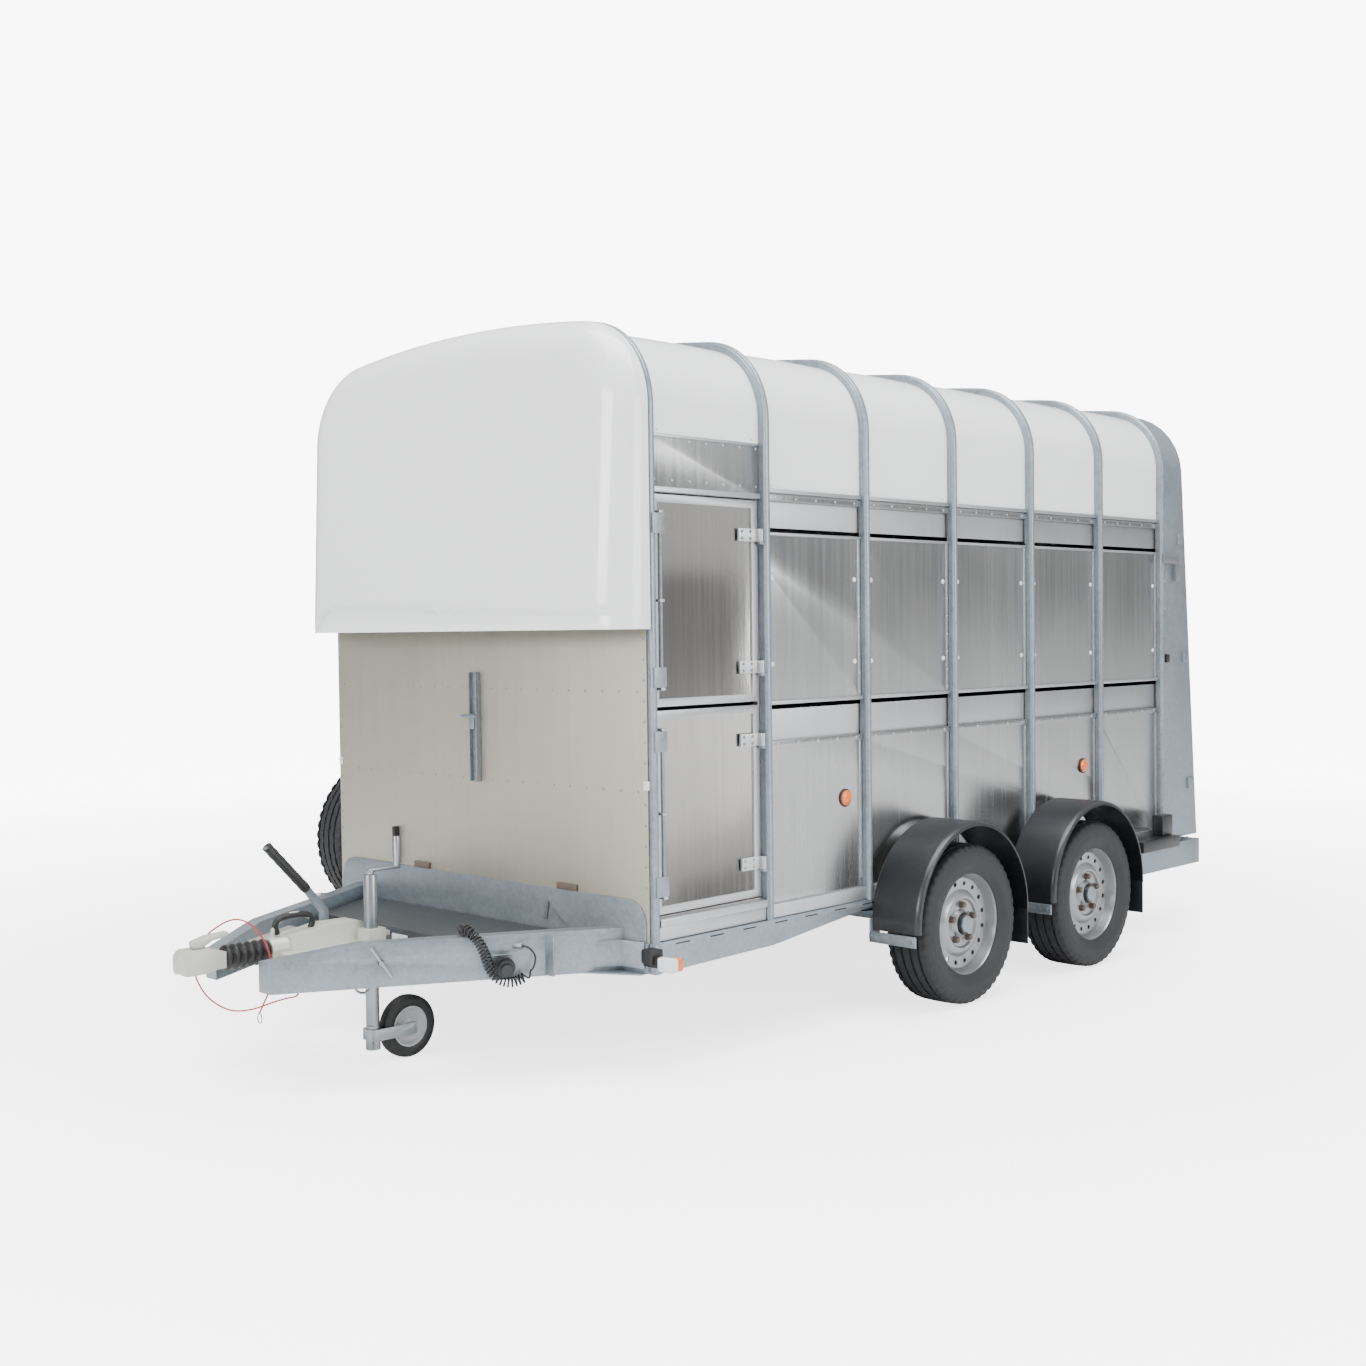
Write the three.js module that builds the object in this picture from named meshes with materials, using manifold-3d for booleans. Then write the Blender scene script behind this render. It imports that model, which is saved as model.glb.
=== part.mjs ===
// Twin-axle livestock trailer: a hooped sheet-metal body on a galvanised
// chassis, with a drawbar, jockey wheel, overrun coupling, two-leaf side door
// and a full-height rear ramp. Millimetres, +Z up, hitch towards -Y.
import * as THREE from 'three';
import { mergeVertices } from 'three/addons/utils/BufferGeometryUtils.js';
import Module from 'manifold-3d';

const wasm = await Module();
wasm.setup();

// ---------------------------------------------------------------- driving sizes
// Y is measured from the rear edge of the first hoop until the very end.
const GAP = 0.3;                 // clearance between pieces that touch

const BAY_COUNT = 6;             // bays along the body
const BAY = 518;                 // hoop pitch
const HALF_WIDTH = 818;          // outer face of the hoops
const HOOP_WIDTH = 30;           // hoop tube along the body
const HOOP_DEPTH = 28;           // hoop tube across its bend
const ROOF_TOP = 2305;           // crown of the hoops
const CORNER_RADIUS = 276;       // shoulder bend of the hoops
const CAMBER_DEG = 7;            // slope where the shoulder meets the roof camber
const SHEET = 2.5;               // side and roof sheet

const RAIL_TOP = 394;            // chassis side rails, hoops and panels stand on them
const RAIL_WIDTH = 74;           // side rail across
const BEARER_WIDTH = 44;         // narrower top flange under the floor
const RAIL_BOTTOM_FRONT = 302;   // deep front end of the side rails
const RAIL_BOTTOM_MIDDLE = 368;  // shallow part over the axles
const TAIL_BOTTOM = 258;         // deep tail behind the axles
const TAIL_TOP = 366;
const TAIL_LENGTH = 312;         // tail beyond the last hoop
const CROSS_MEMBERS = 8;
const CROSS_WIDTH = 40;
const CROSS_HEIGHT = 60;
const FLOOR_TOP = 470;
const FLOOR_THICKNESS = 27;

const ROOF_RAIL_TOP = 1778;      // roof sheet ends here
const ROOF_RAIL_BOTTOM = 1739;   // and the upper vent starts
const UPPER_VENT_BOTTOM = 1638;
const LOWER_VENT_TOP = 1083;
const LOWER_VENT_BOTTOM = 966;
const LEDGE_HEIGHT = 20;
const LEDGE_DEPTH = 10;
const VENT_SLOT = 15;            // slot that a closed flap leaves open
const VENT_LAP = 7;              // how far a flap laps behind the sheet
const FLAP_SETBACK = 4;          // flap behind the sheet

const DOOR_OPENING_BOTTOM = 467;
const DOOR_OPENING_TOP = 1741;
const DOOR_HEADER_TOP = 1917;    // the roof sheet is shorter above the door
const DOOR_SPLIT = 1092;         // between the two leaves
const DOOR_SPLIT_GAP = 12;
const DOOR_THICKNESS = 22;
const DOOR_FRAME = 24;           // tube frame of a leaf
const DOOR_EDGE_GAP = 5;
const HINGE_BARREL_RADIUS = 9;
const HINGE_PIN_RADIUS = 5;
const HINGE_HEIGHT = 40;
const LATCH_ROD_RADIUS = 6;
const LATCH_DOG_HEIGHT = 60;

const WALL_THICKNESS = 3;
const WALL_GAP = 2;              // front wall ahead of the first hoop
const WALL_HALF_WIDTH = 800;
const NOSE_BOTTOM = 1332;
const NOSE_DEPTH = 145;          // forward of the first hoop at the bottom
const NOSE_LEAN = 0.045;         // how much the face leans back per unit height
const NOSE_EDGE_RADIUS = 115;
const NOSE_SKIN = 5;
const PLATE_BOTTOM = 380;        // galvanised plate across the foot of the wall
const PLATE_TOP = 519;
const PLATE_THICKNESS = 5;
const PLATE_CORNER = 70;

const ARM_BOTTOM = 302;          // drawbar arms
const ARM_TOP = 432;
const ARM_NOSE_TOP = 392;        // the arms are shallower at the hitch
const ARM_TAPER_END_Y = -700;
const ARM_WIDTH = 52;
const ARM_FRONT_Y = -942;
const ARM_FRONT_X = 148;         // arm centre line at its front end
const ARM_REAR_X = 668;          // and where it meets the chassis

const COUPLING_Z = 392;          // axis of the overrun shaft
const SHAFT_RADIUS = 24;
const SHAFT_CLEARANCE = 1.5;
const HEAD_TIP_Y = -1140;
const HEAD_REAR_Y = -992;
const HEAD_HALF_WIDTH = 38;
const HEAD_BOTTOM = 362;
const HEAD_TOP = 432;
const BALL_CUP_RADIUS = 26;
const BALL_Y = -1098;
const HOUSING_FRONT_Y = -842;
const HOUSING_REAR_Y = -430;
const HOUSING_RADIUS = 38;
const BORE_DEPTH = 200;
const OVERRUN_TRAVEL = 80;
const BELLOWS_RADIUS = 38;
const BELLOWS_FOLDS = 6;

const LEVER_PIVOT_Y = -600;
const LEVER_PIVOT_Z = 402;
const LEVER_X = -60;

const JOCKEY_X = 70;
const JOCKEY_Y = -519;
const JOCKEY_TUBE_RADIUS = 21;
const JOCKEY_TUBE_WALL = 3;
const JOCKEY_TUBE_TOP = 588;
const JOCKEY_TUBE_BOTTOM = 122;
const JOCKEY_TRAIL = 128;        // wheel centre behind the swivel axis
const JOCKEY_WHEEL_RADIUS = 98;
const JOCKEY_WHEEL_WIDTH = 44;
const FORK_THICKNESS = 6;
const CRANK_THROW = 100;

const AXLE_FRONT_Y = 1356;
const AXLE_SPACING = 848;
const TYRE_RADIUS = 285;         // loaded radius
const TYRE_WIDTH = 182;
const TYRE_INNER_FACE = 824;     // inner side wall, clear of the hoops
const RIM_RADIUS = 192;          // rim flange
const RIM_SEAT_RADIUS = 178;
const RIM_WIDTH = 146;
const HUB_RADIUS = 34;
const WHEEL_SIDES = 24;
const AXLE_BEAM = 50;
const SPRING_X = 640;            // leaf spring centre line
const SPRING_WIDTH = 50;
const SPRING_HALF_LENGTH = 370;
const SPRING_LEAF = 9;
const SPRING_END_Z = 352;
const AXLE_TRAVEL = 35;

const GUARD_RADIUS = 342;        // mudguard outer radius
const GUARD_LIFT = 22;           // its centre above the axle
const GUARD_SKIN = 4;
const GUARD_OUTER = 1020;
const GUARD_INNER = 820;
const GUARD_LIP = 16;
const GUARD_END_Z = 292;

const SPARE_Y = 262;
const SPARE_Z = 562;
const SPARE_WIDTH = 170;

const BOX_FRONT_Y = -360;        // tool box between the arms
const BOX_REAR_Y = -52;
const BOX_BOTTOM = 310;
const BOX_TOP = 390;

const RAMP_INSET = 14;           // ramp outline inside the hoop outline
const RAMP_BOTTOM = 386;
const RAMP_DECK = 32;
const RAMP_DEPTH_BOTTOM = 310;   // from the last hoop to the outer face
const RAMP_DEPTH_TOP = 150;
const RAMP_CHEEK = 4;
const RAMP_HINGE_Z = 396;
const RAMP_HINGE_INSET = 18;     // hinge axis ahead of the outer face

// ---------------------------------------------------------------- worked-out sizes
const BODY_LENGTH = BAY_COUNT * BAY;
const RAIL_OUTER = HALF_WIDTH - HOOP_DEPTH;
const PANEL_OUTER = RAIL_OUTER - GAP;
const PANEL_INNER = PANEL_OUTER - SHEET;
const RAMP_REAR_Y = BODY_LENGTH + RAMP_DEPTH_BOTTOM;
const AXLE_Z = TYRE_RADIUS * Math.cos(Math.PI / WHEEL_SIDES);
const JOCKEY_AXLE_Z = JOCKEY_WHEEL_RADIUS * Math.cos(Math.PI / 24);
const WHEEL_X = TYRE_INNER_FACE + TYRE_WIDTH / 2;
const AXLE_Y = [AXLE_FRONT_Y, AXLE_FRONT_Y + AXLE_SPACING];
const CENTRE_Y = (RAMP_REAR_Y + HEAD_TIP_Y) / 2;

const group = new THREE.Group();

// ---------------------------------------------------------------- finishes
const finish = {
  galvanised: { color: 0xa9b3ba, roughness: 0.45, metalness: 0.85 },
  aluminium: { color: 0xc6c9c8, roughness: 0.28, metalness: 0.95 },
  gelcoat: { color: 0xf4f6f5, roughness: 0.15, metalness: 0 },
  castPaint: { color: 0xdadbd0, roughness: 0.4, metalness: 0.1 },
  blackPlastic: { color: 0x23272a, roughness: 0.55, metalness: 0 },
  rubber: { color: 0x1b1c1d, roughness: 0.85, metalness: 0 },
  silverSteel: { color: 0xc9cdd2, roughness: 0.35, metalness: 0.6 },
  deckBoard: { color: 0x6b5a49, roughness: 0.8, metalness: 0 },
  greyBox: { color: 0x43515a, roughness: 0.5, metalness: 0.1 },
  redCable: { color: 0xb03040, roughness: 0.5, metalness: 0 },
};

// ---------------------------------------------------------------- geometry helpers
// A closed mesh as a solid that can be joined and cut.
function solid(geometry) {
  const bare = geometry.clone();
  for (const name of ['normal', 'uv', 'uv1']) bare.deleteAttribute(name);
  const merged = mergeVertices(bare, 1e-4);
  const corners = merged.index ? Array.from(merged.index.array) : null;
  return new wasm.Manifold(new wasm.Mesh({
    numProp: 3,
    vertProperties: Float32Array.from(merged.attributes.position.array),
    triVerts: Uint32Array.from(corners),
  }));
}

function toGeometry(body) {
  const mesh = body.getMesh();
  const geometry = new THREE.BufferGeometry();
  geometry.setAttribute('position', new THREE.BufferAttribute(mesh.vertProperties, 3));
  geometry.setIndex(new THREE.BufferAttribute(mesh.triVerts, 1));
  geometry.computeVertexNormals();
  return geometry;
}

function join(...bodies) {
  return bodies.reduce((sum, body) => sum.add(body));
}

// Box between two corners.
function box(x0, x1, y0, y1, z0, z1) {
  const geometry = new THREE.BoxGeometry(x1 - x0, y1 - y0, z1 - z0);
  geometry.translate((x0 + x1) / 2, (y0 + y1) / 2, (z0 + z1) / 2);
  return solid(geometry);
}

// Round bar between two points on a line parallel to axis 'x', 'y' or 'z'.
function bar(axis, radius, from, to, centre, sides = 16) {
  const geometry = new THREE.CylinderGeometry(radius, radius, to - from, sides);
  geometry.rotateX(Math.PI / 2);
  if (axis === 'x') geometry.rotateY(Math.PI / 2);
  if (axis === 'y') geometry.rotateX(Math.PI / 2);
  const middle = (from + to) / 2;
  const [a, b] = centre;
  if (axis === 'x') geometry.translate(middle, a, b);
  if (axis === 'y') geometry.translate(a, middle, b);
  if (axis === 'z') geometry.translate(a, b, middle);
  return solid(geometry);
}

function shapeOf(points, holes = []) {
  const shape = new THREE.Shape(points.map(([a, b]) => new THREE.Vector2(a, b)));
  for (const hole of holes) {
    shape.holes.push(new THREE.Path(hole.map(([a, b]) => new THREE.Vector2(a, b))));
  }
  return shape;
}

function extrude(shape, depth) {
  return new THREE.ExtrudeGeometry(shape, { depth, bevelEnabled: false, curveSegments: 8 });
}

// Outline in the X-Z plane, swept along Y.
function sweepY(points, y0, y1, holes = []) {
  const geometry = extrude(shapeOf(points, holes), y1 - y0);
  geometry.applyMatrix4(new THREE.Matrix4().set(
    1, 0, 0, 0,
    0, 0, -1, y1,
    0, 1, 0, 0,
    0, 0, 0, 1,
  ));
  return solid(geometry);
}

// Outline in the Y-Z plane, swept along X.
function sweepX(points, x0, x1, holes = []) {
  const geometry = extrude(shapeOf(points, holes), x1 - x0);
  geometry.applyMatrix4(new THREE.Matrix4().set(
    0, 0, 1, x0,
    1, 0, 0, 0,
    0, 1, 0, 0,
    0, 0, 0, 1,
  ));
  return solid(geometry);
}

// Outline in the X-Y plane, swept along Z.
function sweepZ(points, z0, z1, holes = []) {
  const geometry = extrude(shapeOf(points, holes), z1 - z0);
  geometry.translate(0, 0, z0);
  return solid(geometry);
}

// Round rod between any two points.
function rod(from, to, radius, sides = 10) {
  const start = new THREE.Vector3(...from);
  const run = new THREE.Vector3(...to).sub(start);
  const geometry = new THREE.CylinderGeometry(radius, radius, run.length(), sides);
  geometry.translate(0, run.length() / 2, 0);
  const turn = new THREE.Quaternion().setFromUnitVectors(
    new THREE.Vector3(0, 1, 0),
    run.clone().normalize(),
  );
  geometry.applyQuaternion(turn);
  geometry.translate(start.x, start.y, start.z);
  return solid(geometry);
}

// Round tube that follows a list of points.
function tube(points, radius, sides, steps) {
  const circle = [];
  for (let i = 0; i < sides; i += 1) {
    const angle = (2 * Math.PI * i) / sides;
    circle.push([radius * Math.cos(angle), radius * Math.sin(angle)]);
  }
  const path = new THREE.CatmullRomCurve3(points.map((p) => new THREE.Vector3(...p)));
  const geometry = new THREE.ExtrudeGeometry(shapeOf(circle), {
    steps,
    extrudePath: path,
    bevelEnabled: false,
  });
  return solid(geometry);
}

// Body of revolution about a line along X, from a profile of [x, radius] points.
function turnedX(profile, y, z, sides, closed = false) {
  const loop = closed ? [...profile, profile[0]] : profile;
  const points = loop.map(([along, radius]) => new THREE.Vector2(radius, along));
  const geometry = new THREE.LatheGeometry(points, sides, Math.PI / sides);
  geometry.rotateZ(-Math.PI / 2);
  geometry.rotateX(Math.PI / 2);
  geometry.translate(0, y, z);
  return outward(solid(geometry), geometry);
}

// A lathe profile may run either way round; the solid must have positive volume.
function outward(body, geometry) {
  if (body.volume() > 0) return body;
  const index = geometry.index.array;
  for (let i = 0; i < index.length; i += 3) {
    [index[i], index[i + 1]] = [index[i + 1], index[i]];
  }
  return solid(geometry);
}

// Closed skin through rings that have the same number of points.
function loft(rings) {
  const count = rings[0].length;
  const positions = rings.flat(2);
  const index = [];
  for (let r = 0; r + 1 < rings.length; r += 1) {
    for (let i = 0; i < count; i += 1) {
      const a = r * count + i;
      const b = r * count + ((i + 1) % count);
      index.push(a, b, a + count, b, b + count, a + count);
    }
  }
  const flat = rings[0].map(([x, , z]) => new THREE.Vector2(x, z));
  const last = (rings.length - 1) * count;
  for (const [a, b, c] of THREE.ShapeUtils.triangulateShape(flat, [])) {
    index.push(a, c, b);
    index.push(last + a, last + b, last + c);
  }
  const geometry = new THREE.BufferGeometry();
  geometry.setAttribute('position', new THREE.Float32BufferAttribute(positions, 3));
  geometry.setIndex(index);
  return outward(solid(geometry), geometry);
}

function mirrorX(points) {
  return points.map(([x, ...rest]) => [-x, ...rest]).reverse();
}

// Adds one named piece.
function add(name, body, look) {
  const material = new THREE.MeshStandardMaterial(finish[look]);
  const mesh = new THREE.Mesh(toGeometry(body), material);
  mesh.name = name;
  group.add(mesh);
}

// Both sides of the trailer: [suffix, sign]. Left is the kerb side, +X.
const SIDES = [['left', 1], ['right', -1]];

// ---------------------------------------------------------------- hoop outline
// Half outline from the side up over the shoulder to the crown, as [x, z].
function archHalf(inset) {
  const camber = THREE.MathUtils.degToRad(CAMBER_DEG);
  const shoulderX = HALF_WIDTH - CORNER_RADIUS;
  const tangentX = shoulderX + CORNER_RADIUS * Math.sin(camber);
  const camberRadius = tangentX / Math.sin(camber);
  const camberZ = ROOF_TOP - camberRadius;
  const shoulderZ = camberZ + (camberRadius - CORNER_RADIUS) * Math.cos(camber);
  const points = [];
  const steps = 7;
  for (let i = 0; i <= steps; i += 1) {
    const angle = ((Math.PI / 2 - camber) * i) / steps;
    const radius = CORNER_RADIUS - inset;
    points.push([shoulderX + radius * Math.cos(angle), shoulderZ + radius * Math.sin(angle)]);
  }
  const middle = camber / 2;
  const crown = camberRadius - inset;
  points.push([crown * Math.sin(middle), camberZ + crown * Math.cos(middle)]);
  return points;
}

// Whole outline, from the right foot over the roof to the left foot.
function arch(inset, footZ) {
  const half = archHalf(inset);
  const right = [[HALF_WIDTH - inset, footZ], ...half];
  return [...right, [0, ROOF_TOP - inset], ...mirrorX(right)];
}

// Band between two outlines, open at the foot.
function archBand(inset, thickness, footZ) {
  return [...arch(inset, footZ), ...arch(inset + thickness, footZ).reverse()];
}

// ---------------------------------------------------------------- chassis
const RAIL_INNER = HALF_WIDTH - 2 - RAIL_WIDTH;
const RAIL_FACE = HALF_WIDTH - 2;
const DECK_BOTTOM = FLOOR_TOP - FLOOR_THICKNESS;
const BEARER_TOP = DECK_BOTTOM - GAP;
const PLATE_FRONT_Y = -(HOOP_WIDTH + WALL_GAP + WALL_THICKNESS + GAP + PLATE_THICKNESS);

function sideRail(sign) {
  const outline = [
    [-HOOP_WIDTH, RAIL_BOTTOM_FRONT],
    [BAY - 10, RAIL_BOTTOM_FRONT + 10],
    [2 * BAY - 30, RAIL_BOTTOM_MIDDLE],
    [AXLE_Y[1] + 560, RAIL_BOTTOM_MIDDLE],
    [AXLE_Y[1] + 590, TAIL_BOTTOM],
    [RAMP_REAR_Y, TAIL_BOTTOM],
    [RAMP_REAR_Y, TAIL_TOP],
    [BODY_LENGTH, TAIL_TOP],
    [BODY_LENGTH, RAIL_TOP],
    [-HOOP_WIDTH, RAIL_TOP],
  ];
  const [low, high] = sign > 0 ? [RAIL_INNER, RAIL_FACE] : [-RAIL_FACE, -RAIL_INNER];
  const bearer = sign > 0 ? [low, low + BEARER_WIDTH] : [high - BEARER_WIDTH, high];
  return join(
    sweepX(outline, low, high),
    box(bearer[0], bearer[1], -HOOP_WIDTH, BODY_LENGTH + 200, TAIL_TOP - 10, BEARER_TOP),
  );
}

function springRail(sign) {
  const x = sign * SPRING_X;
  const half = SPRING_WIDTH / 2 + 3;
  const front = AXLE_Y[0] - SPRING_HALF_LENGTH - 60;
  const rear = AXLE_Y[1] + SPRING_HALF_LENGTH + 60;
  const under = SPRING_END_Z + SPRING_LEAF + GAP;
  let rail = box(x - half, x + half, front, rear, under + 20, BEARER_TOP);
  for (const y of AXLE_Y) {
    for (const end of [-1, 1]) {
      const eye = y + end * SPRING_HALF_LENGTH;
      rail = rail.add(box(x - half, x + half, eye - 20, eye + 20, under, under + 21));
    }
  }
  return rail;
}

function frontPlate() {
  const half = HALF_WIDTH - 28;
  const points = [[-half, PLATE_BOTTOM], [half, PLATE_BOTTOM]];
  for (const side of [1, -1]) {
    for (let i = 0; i <= 4; i += 1) {
      const angle = (Math.PI / 8) * (side > 0 ? i : 4 - i);
      points.push([
        side * (half - PLATE_CORNER + PLATE_CORNER * Math.cos(angle)),
        PLATE_TOP - PLATE_CORNER + PLATE_CORNER * Math.sin(angle),
      ]);
    }
  }
  return sweepY(points, PLATE_FRONT_Y, PLATE_FRONT_Y + PLATE_THICKNESS);
}

function chassisFrame() {
  const inner = RAIL_INNER + 1;
  const pitch = (BODY_LENGTH + 200) / CROSS_MEMBERS;
  const pieces = [sideRail(1), sideRail(-1), springRail(1), springRail(-1), frontPlate()];
  for (let i = 1; i <= CROSS_MEMBERS; i += 1) {
    const y = i * pitch - CROSS_WIDTH;
    pieces.push(box(-inner, inner, y, y + CROSS_WIDTH, BEARER_TOP - CROSS_HEIGHT, BEARER_TOP));
  }
  pieces.push(box(-RAIL_FACE + 20, RAIL_FACE - 20, PLATE_FRONT_Y, 20, RAIL_BOTTOM_FRONT, RAIL_TOP));
  pieces.push(box(-inner, inner, RAMP_REAR_Y - CROSS_WIDTH, RAMP_REAR_Y, TAIL_BOTTOM, TAIL_TOP));
  return join(...pieces);
}
add('chassis_frame', chassisFrame(), 'galvanised');

// Drawbar arm: a deep channel from the corner of the chassis to the coupling.
const ARM_REAR_Y = PLATE_FRONT_Y - GAP;
const armRun = new THREE.Vector2(ARM_REAR_X - ARM_FRONT_X, ARM_REAR_Y - ARM_FRONT_Y).normalize();
const armSide = new THREE.Vector2(armRun.y, -armRun.x);
const armHalf = ARM_WIDTH / 2 / armRun.y;

function armCentre(y) {
  return ARM_FRONT_X + ((y - ARM_FRONT_Y) * armRun.x) / armRun.y;
}

function armInner(y) {
  return armCentre(y) - armHalf;
}

function drawbarArm(sign) {
  const plan = [
    [ARM_FRONT_X - armHalf, ARM_FRONT_Y],
    [ARM_FRONT_X + armHalf, ARM_FRONT_Y],
    [ARM_REAR_X + armHalf, ARM_REAR_Y],
    [ARM_REAR_X - armHalf, ARM_REAR_Y],
  ];
  const side = [
    [ARM_FRONT_Y, ARM_BOTTOM],
    [ARM_REAR_Y, ARM_BOTTOM],
    [ARM_REAR_Y, ARM_TOP],
    [ARM_TAPER_END_Y, ARM_TOP],
    [ARM_FRONT_Y, ARM_NOSE_TOP],
  ];
  const placed = sign > 0 ? plan : mirrorX(plan);
  const reach = HALF_WIDTH;
  return sweepZ(placed, ARM_BOTTOM, ARM_TOP).intersect(sweepX(side, -reach, reach));
}

// The clamp screw leaves the jockey clamp square to the kerb-side arm.
const SCREW_Z = 376;
const SCREW_RADIUS = 7;
const SCREW_START = 36;
const SCREW_LENGTH = 322;
function screwPoint(distance) {
  return [JOCKEY_X + armSide.x * distance, JOCKEY_Y + armSide.y * distance, SCREW_Z];
}
const screwHole = rod(screwPoint(SCREW_START), screwPoint(SCREW_LENGTH), SCREW_RADIUS + 2, 12);
const leadGland = rod([528, -331, 399], [555.6, -322.1, 399], 10, 12);
add('drawbar_left', join(drawbarArm(1).subtract(screwHole), leadGland), 'galvanised');
add('drawbar_right', drawbarArm(-1), 'galvanised');

// ---------------------------------------------------------------- floor
const DECK_HALF = PANEL_INNER - GAP;
const DECK_REAR_Y = BODY_LENGTH + RAMP_DEPTH_BOTTOM - RAMP_DECK - 18;
const deckPlan = [
  [-DECK_HALF, -HOOP_WIDTH],
  [DECK_HALF, -HOOP_WIDTH],
  [DECK_HALF, DECK_REAR_Y],
  [-DECK_HALF, DECK_REAR_Y],
];
add('floor_deck', sweepZ(deckPlan, DECK_BOTTOM, FLOOR_TOP), 'deckBoard');

// ---------------------------------------------------------------- side door
const DOOR_FRONT_Y = DOOR_EDGE_GAP;
const DOOR_REAR_Y = BAY - HOOP_WIDTH - DOOR_EDGE_GAP - 8;
const DOOR_OUTER = PANEL_OUTER;
const HINGE_X = PANEL_OUTER + HINGE_BARREL_RADIUS + 7;
const HINGE_Y = DOOR_REAR_Y + 2;
const LEAVES = {
  upper: [DOOR_SPLIT + DOOR_SPLIT_GAP / 2, DOOR_OPENING_TOP - DOOR_EDGE_GAP],
  lower: [DOOR_OPENING_BOTTOM + DOOR_EDGE_GAP, DOOR_SPLIT - DOOR_SPLIT_GAP / 2],
};
const HINGE_INSET = 110;         // hinge height in from the leaf's corners

const LATCH_X = HALF_WIDTH - LATCH_ROD_RADIUS;
const LATCH_Y = DOOR_FRONT_Y + 12;
const LATCH_INSET = 90;

function hingeHeights(leaf) {
  const [z0, z1] = LEAVES[leaf];
  return [z0 + HINGE_INSET, z1 - HINGE_INSET];
}

function dogHeights(leaf) {
  const [z0, z1] = LEAVES[leaf];
  return [z0 + LATCH_INSET, z1 - LATCH_INSET];
}

// Guides that hold the latch rod: beyond each dog and half way up.
function guideHeights(leaf) {
  const [low, high] = dogHeights(leaf);
  const beyond = LATCH_DOG_HEIGHT / 2 + 5;
  return [low - beyond, (low + high) / 2, high + beyond];
}

// Pins welded to the second hoop, one through each strap barrel.
function doorHinges() {
  const pieces = [];
  for (const leaf of ['upper', 'lower']) {
    for (const z of hingeHeights(leaf)) {
      const low = z - HINGE_HEIGHT / 2 - 9;
      const high = low + 8;
      pieces.push(bar('z', HINGE_PIN_RADIUS, low + 1, z + HINGE_HEIGHT / 2, [HINGE_X, HINGE_Y], 10));
      pieces.push(box(HINGE_X - 8, HINGE_X + 7, HINGE_Y - 8, BAY - HOOP_WIDTH + 4, low, high));
    }
  }
  return join(...pieces);
}

function doorLeaf(leaf) {
  const [z0, z1] = LEAVES[leaf];
  const inner = DOOR_OUTER - DOOR_THICKNESS;
  const face = DOOR_OUTER - 9;
  const pane = rectangle(
    DOOR_FRONT_Y + DOOR_FRAME, DOOR_REAR_Y - DOOR_FRAME, z0 + DOOR_FRAME, z1 - DOOR_FRAME,
  );
  const frame = sweepX(rectangle(DOOR_FRONT_Y, DOOR_REAR_Y, z0, z1), inner, DOOR_OUTER, [pane]);
  const skin = sweepX(rectangle(DOOR_FRONT_Y + 2, DOOR_REAR_Y - 2, z0 + 2, z1 - 2), face, face + SHEET);
  const pieces = [frame, skin];
  for (const z of hingeHeights(leaf)) {
    const low = z - HINGE_HEIGHT / 2;
    const high = z + HINGE_HEIGHT / 2;
    const strapInner = DOOR_OUTER - 1;
    pieces.push(box(strapInner, DOOR_OUTER + 6, DOOR_REAR_Y - 90, DOOR_REAR_Y - 3, low, high));
    pieces.push(box(DOOR_OUTER + 1, HINGE_X, DOOR_REAR_Y - 7, DOOR_REAR_Y + 2, low, high));
    pieces.push(bar('z', HINGE_BARREL_RADIUS, low, high, [HINGE_X, HINGE_Y], 12));
  }
  for (const z of guideHeights(leaf)) {
    pieces.push(box(DOOR_OUTER - 1, LATCH_X + 9, LATCH_Y - 9, LATCH_Y + 9, z - 4, z + 4));
  }
  let body = join(...pieces);
  for (const z of hingeHeights(leaf)) {
    const low = z - HINGE_HEIGHT / 2 - 1;
    const bore = HINGE_PIN_RADIUS + 0.5;
    body = body.subtract(bar('z', bore, low, low + HINGE_HEIGHT + 2, [HINGE_X, HINGE_Y], 10));
  }
  return body.subtract(bar('z', LATCH_ROD_RADIUS + 0.5, z0, z1, [LATCH_X, LATCH_Y], 10));
}

// Catch: a turning rod on the leaf with two dogs that lie over the first hoop.
function doorLatch(leaf) {
  const dogZ = dogHeights(leaf);
  const half = LATCH_DOG_HEIGHT / 2;
  const rodLow = dogZ[0] - half - 10;
  const rodHigh = dogZ[1] + half + 10;
  const dogInner = HALF_WIDTH + GAP * 2;
  const pieces = [bar('z', LATCH_ROD_RADIUS, rodLow, rodHigh, [LATCH_X, LATCH_Y], 10)];
  for (const z of dogZ) {
    pieces.push(box(dogInner, dogInner + 6, LATCH_Y - 40, LATCH_Y + 10, z - half, z + half));
    pieces.push(box(LATCH_X - 4, dogInner + 1, LATCH_Y - 5, LATCH_Y + 5, z - half, z + half));
  }
  return join(...pieces);
}
for (const leaf of ['upper', 'lower']) {
  add(`door_${leaf}`, doorLeaf(leaf), 'aluminium');
  add(`door_latch_${leaf}`, doorLatch(leaf), 'galvanised');
}

// ---------------------------------------------------------------- hoops and roof
const HOOP_FOOT = RAIL_TOP + GAP;
for (let i = 0; i <= BAY_COUNT; i += 1) {
  let hoop = sweepY(archBand(0, HOOP_DEPTH, HOOP_FOOT), i * BAY - HOOP_WIDTH, i * BAY);
  if (i === 1) hoop = hoop.add(doorHinges());
  add(`hoop_${i + 1}`, hoop, 'galvanised');
}

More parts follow.
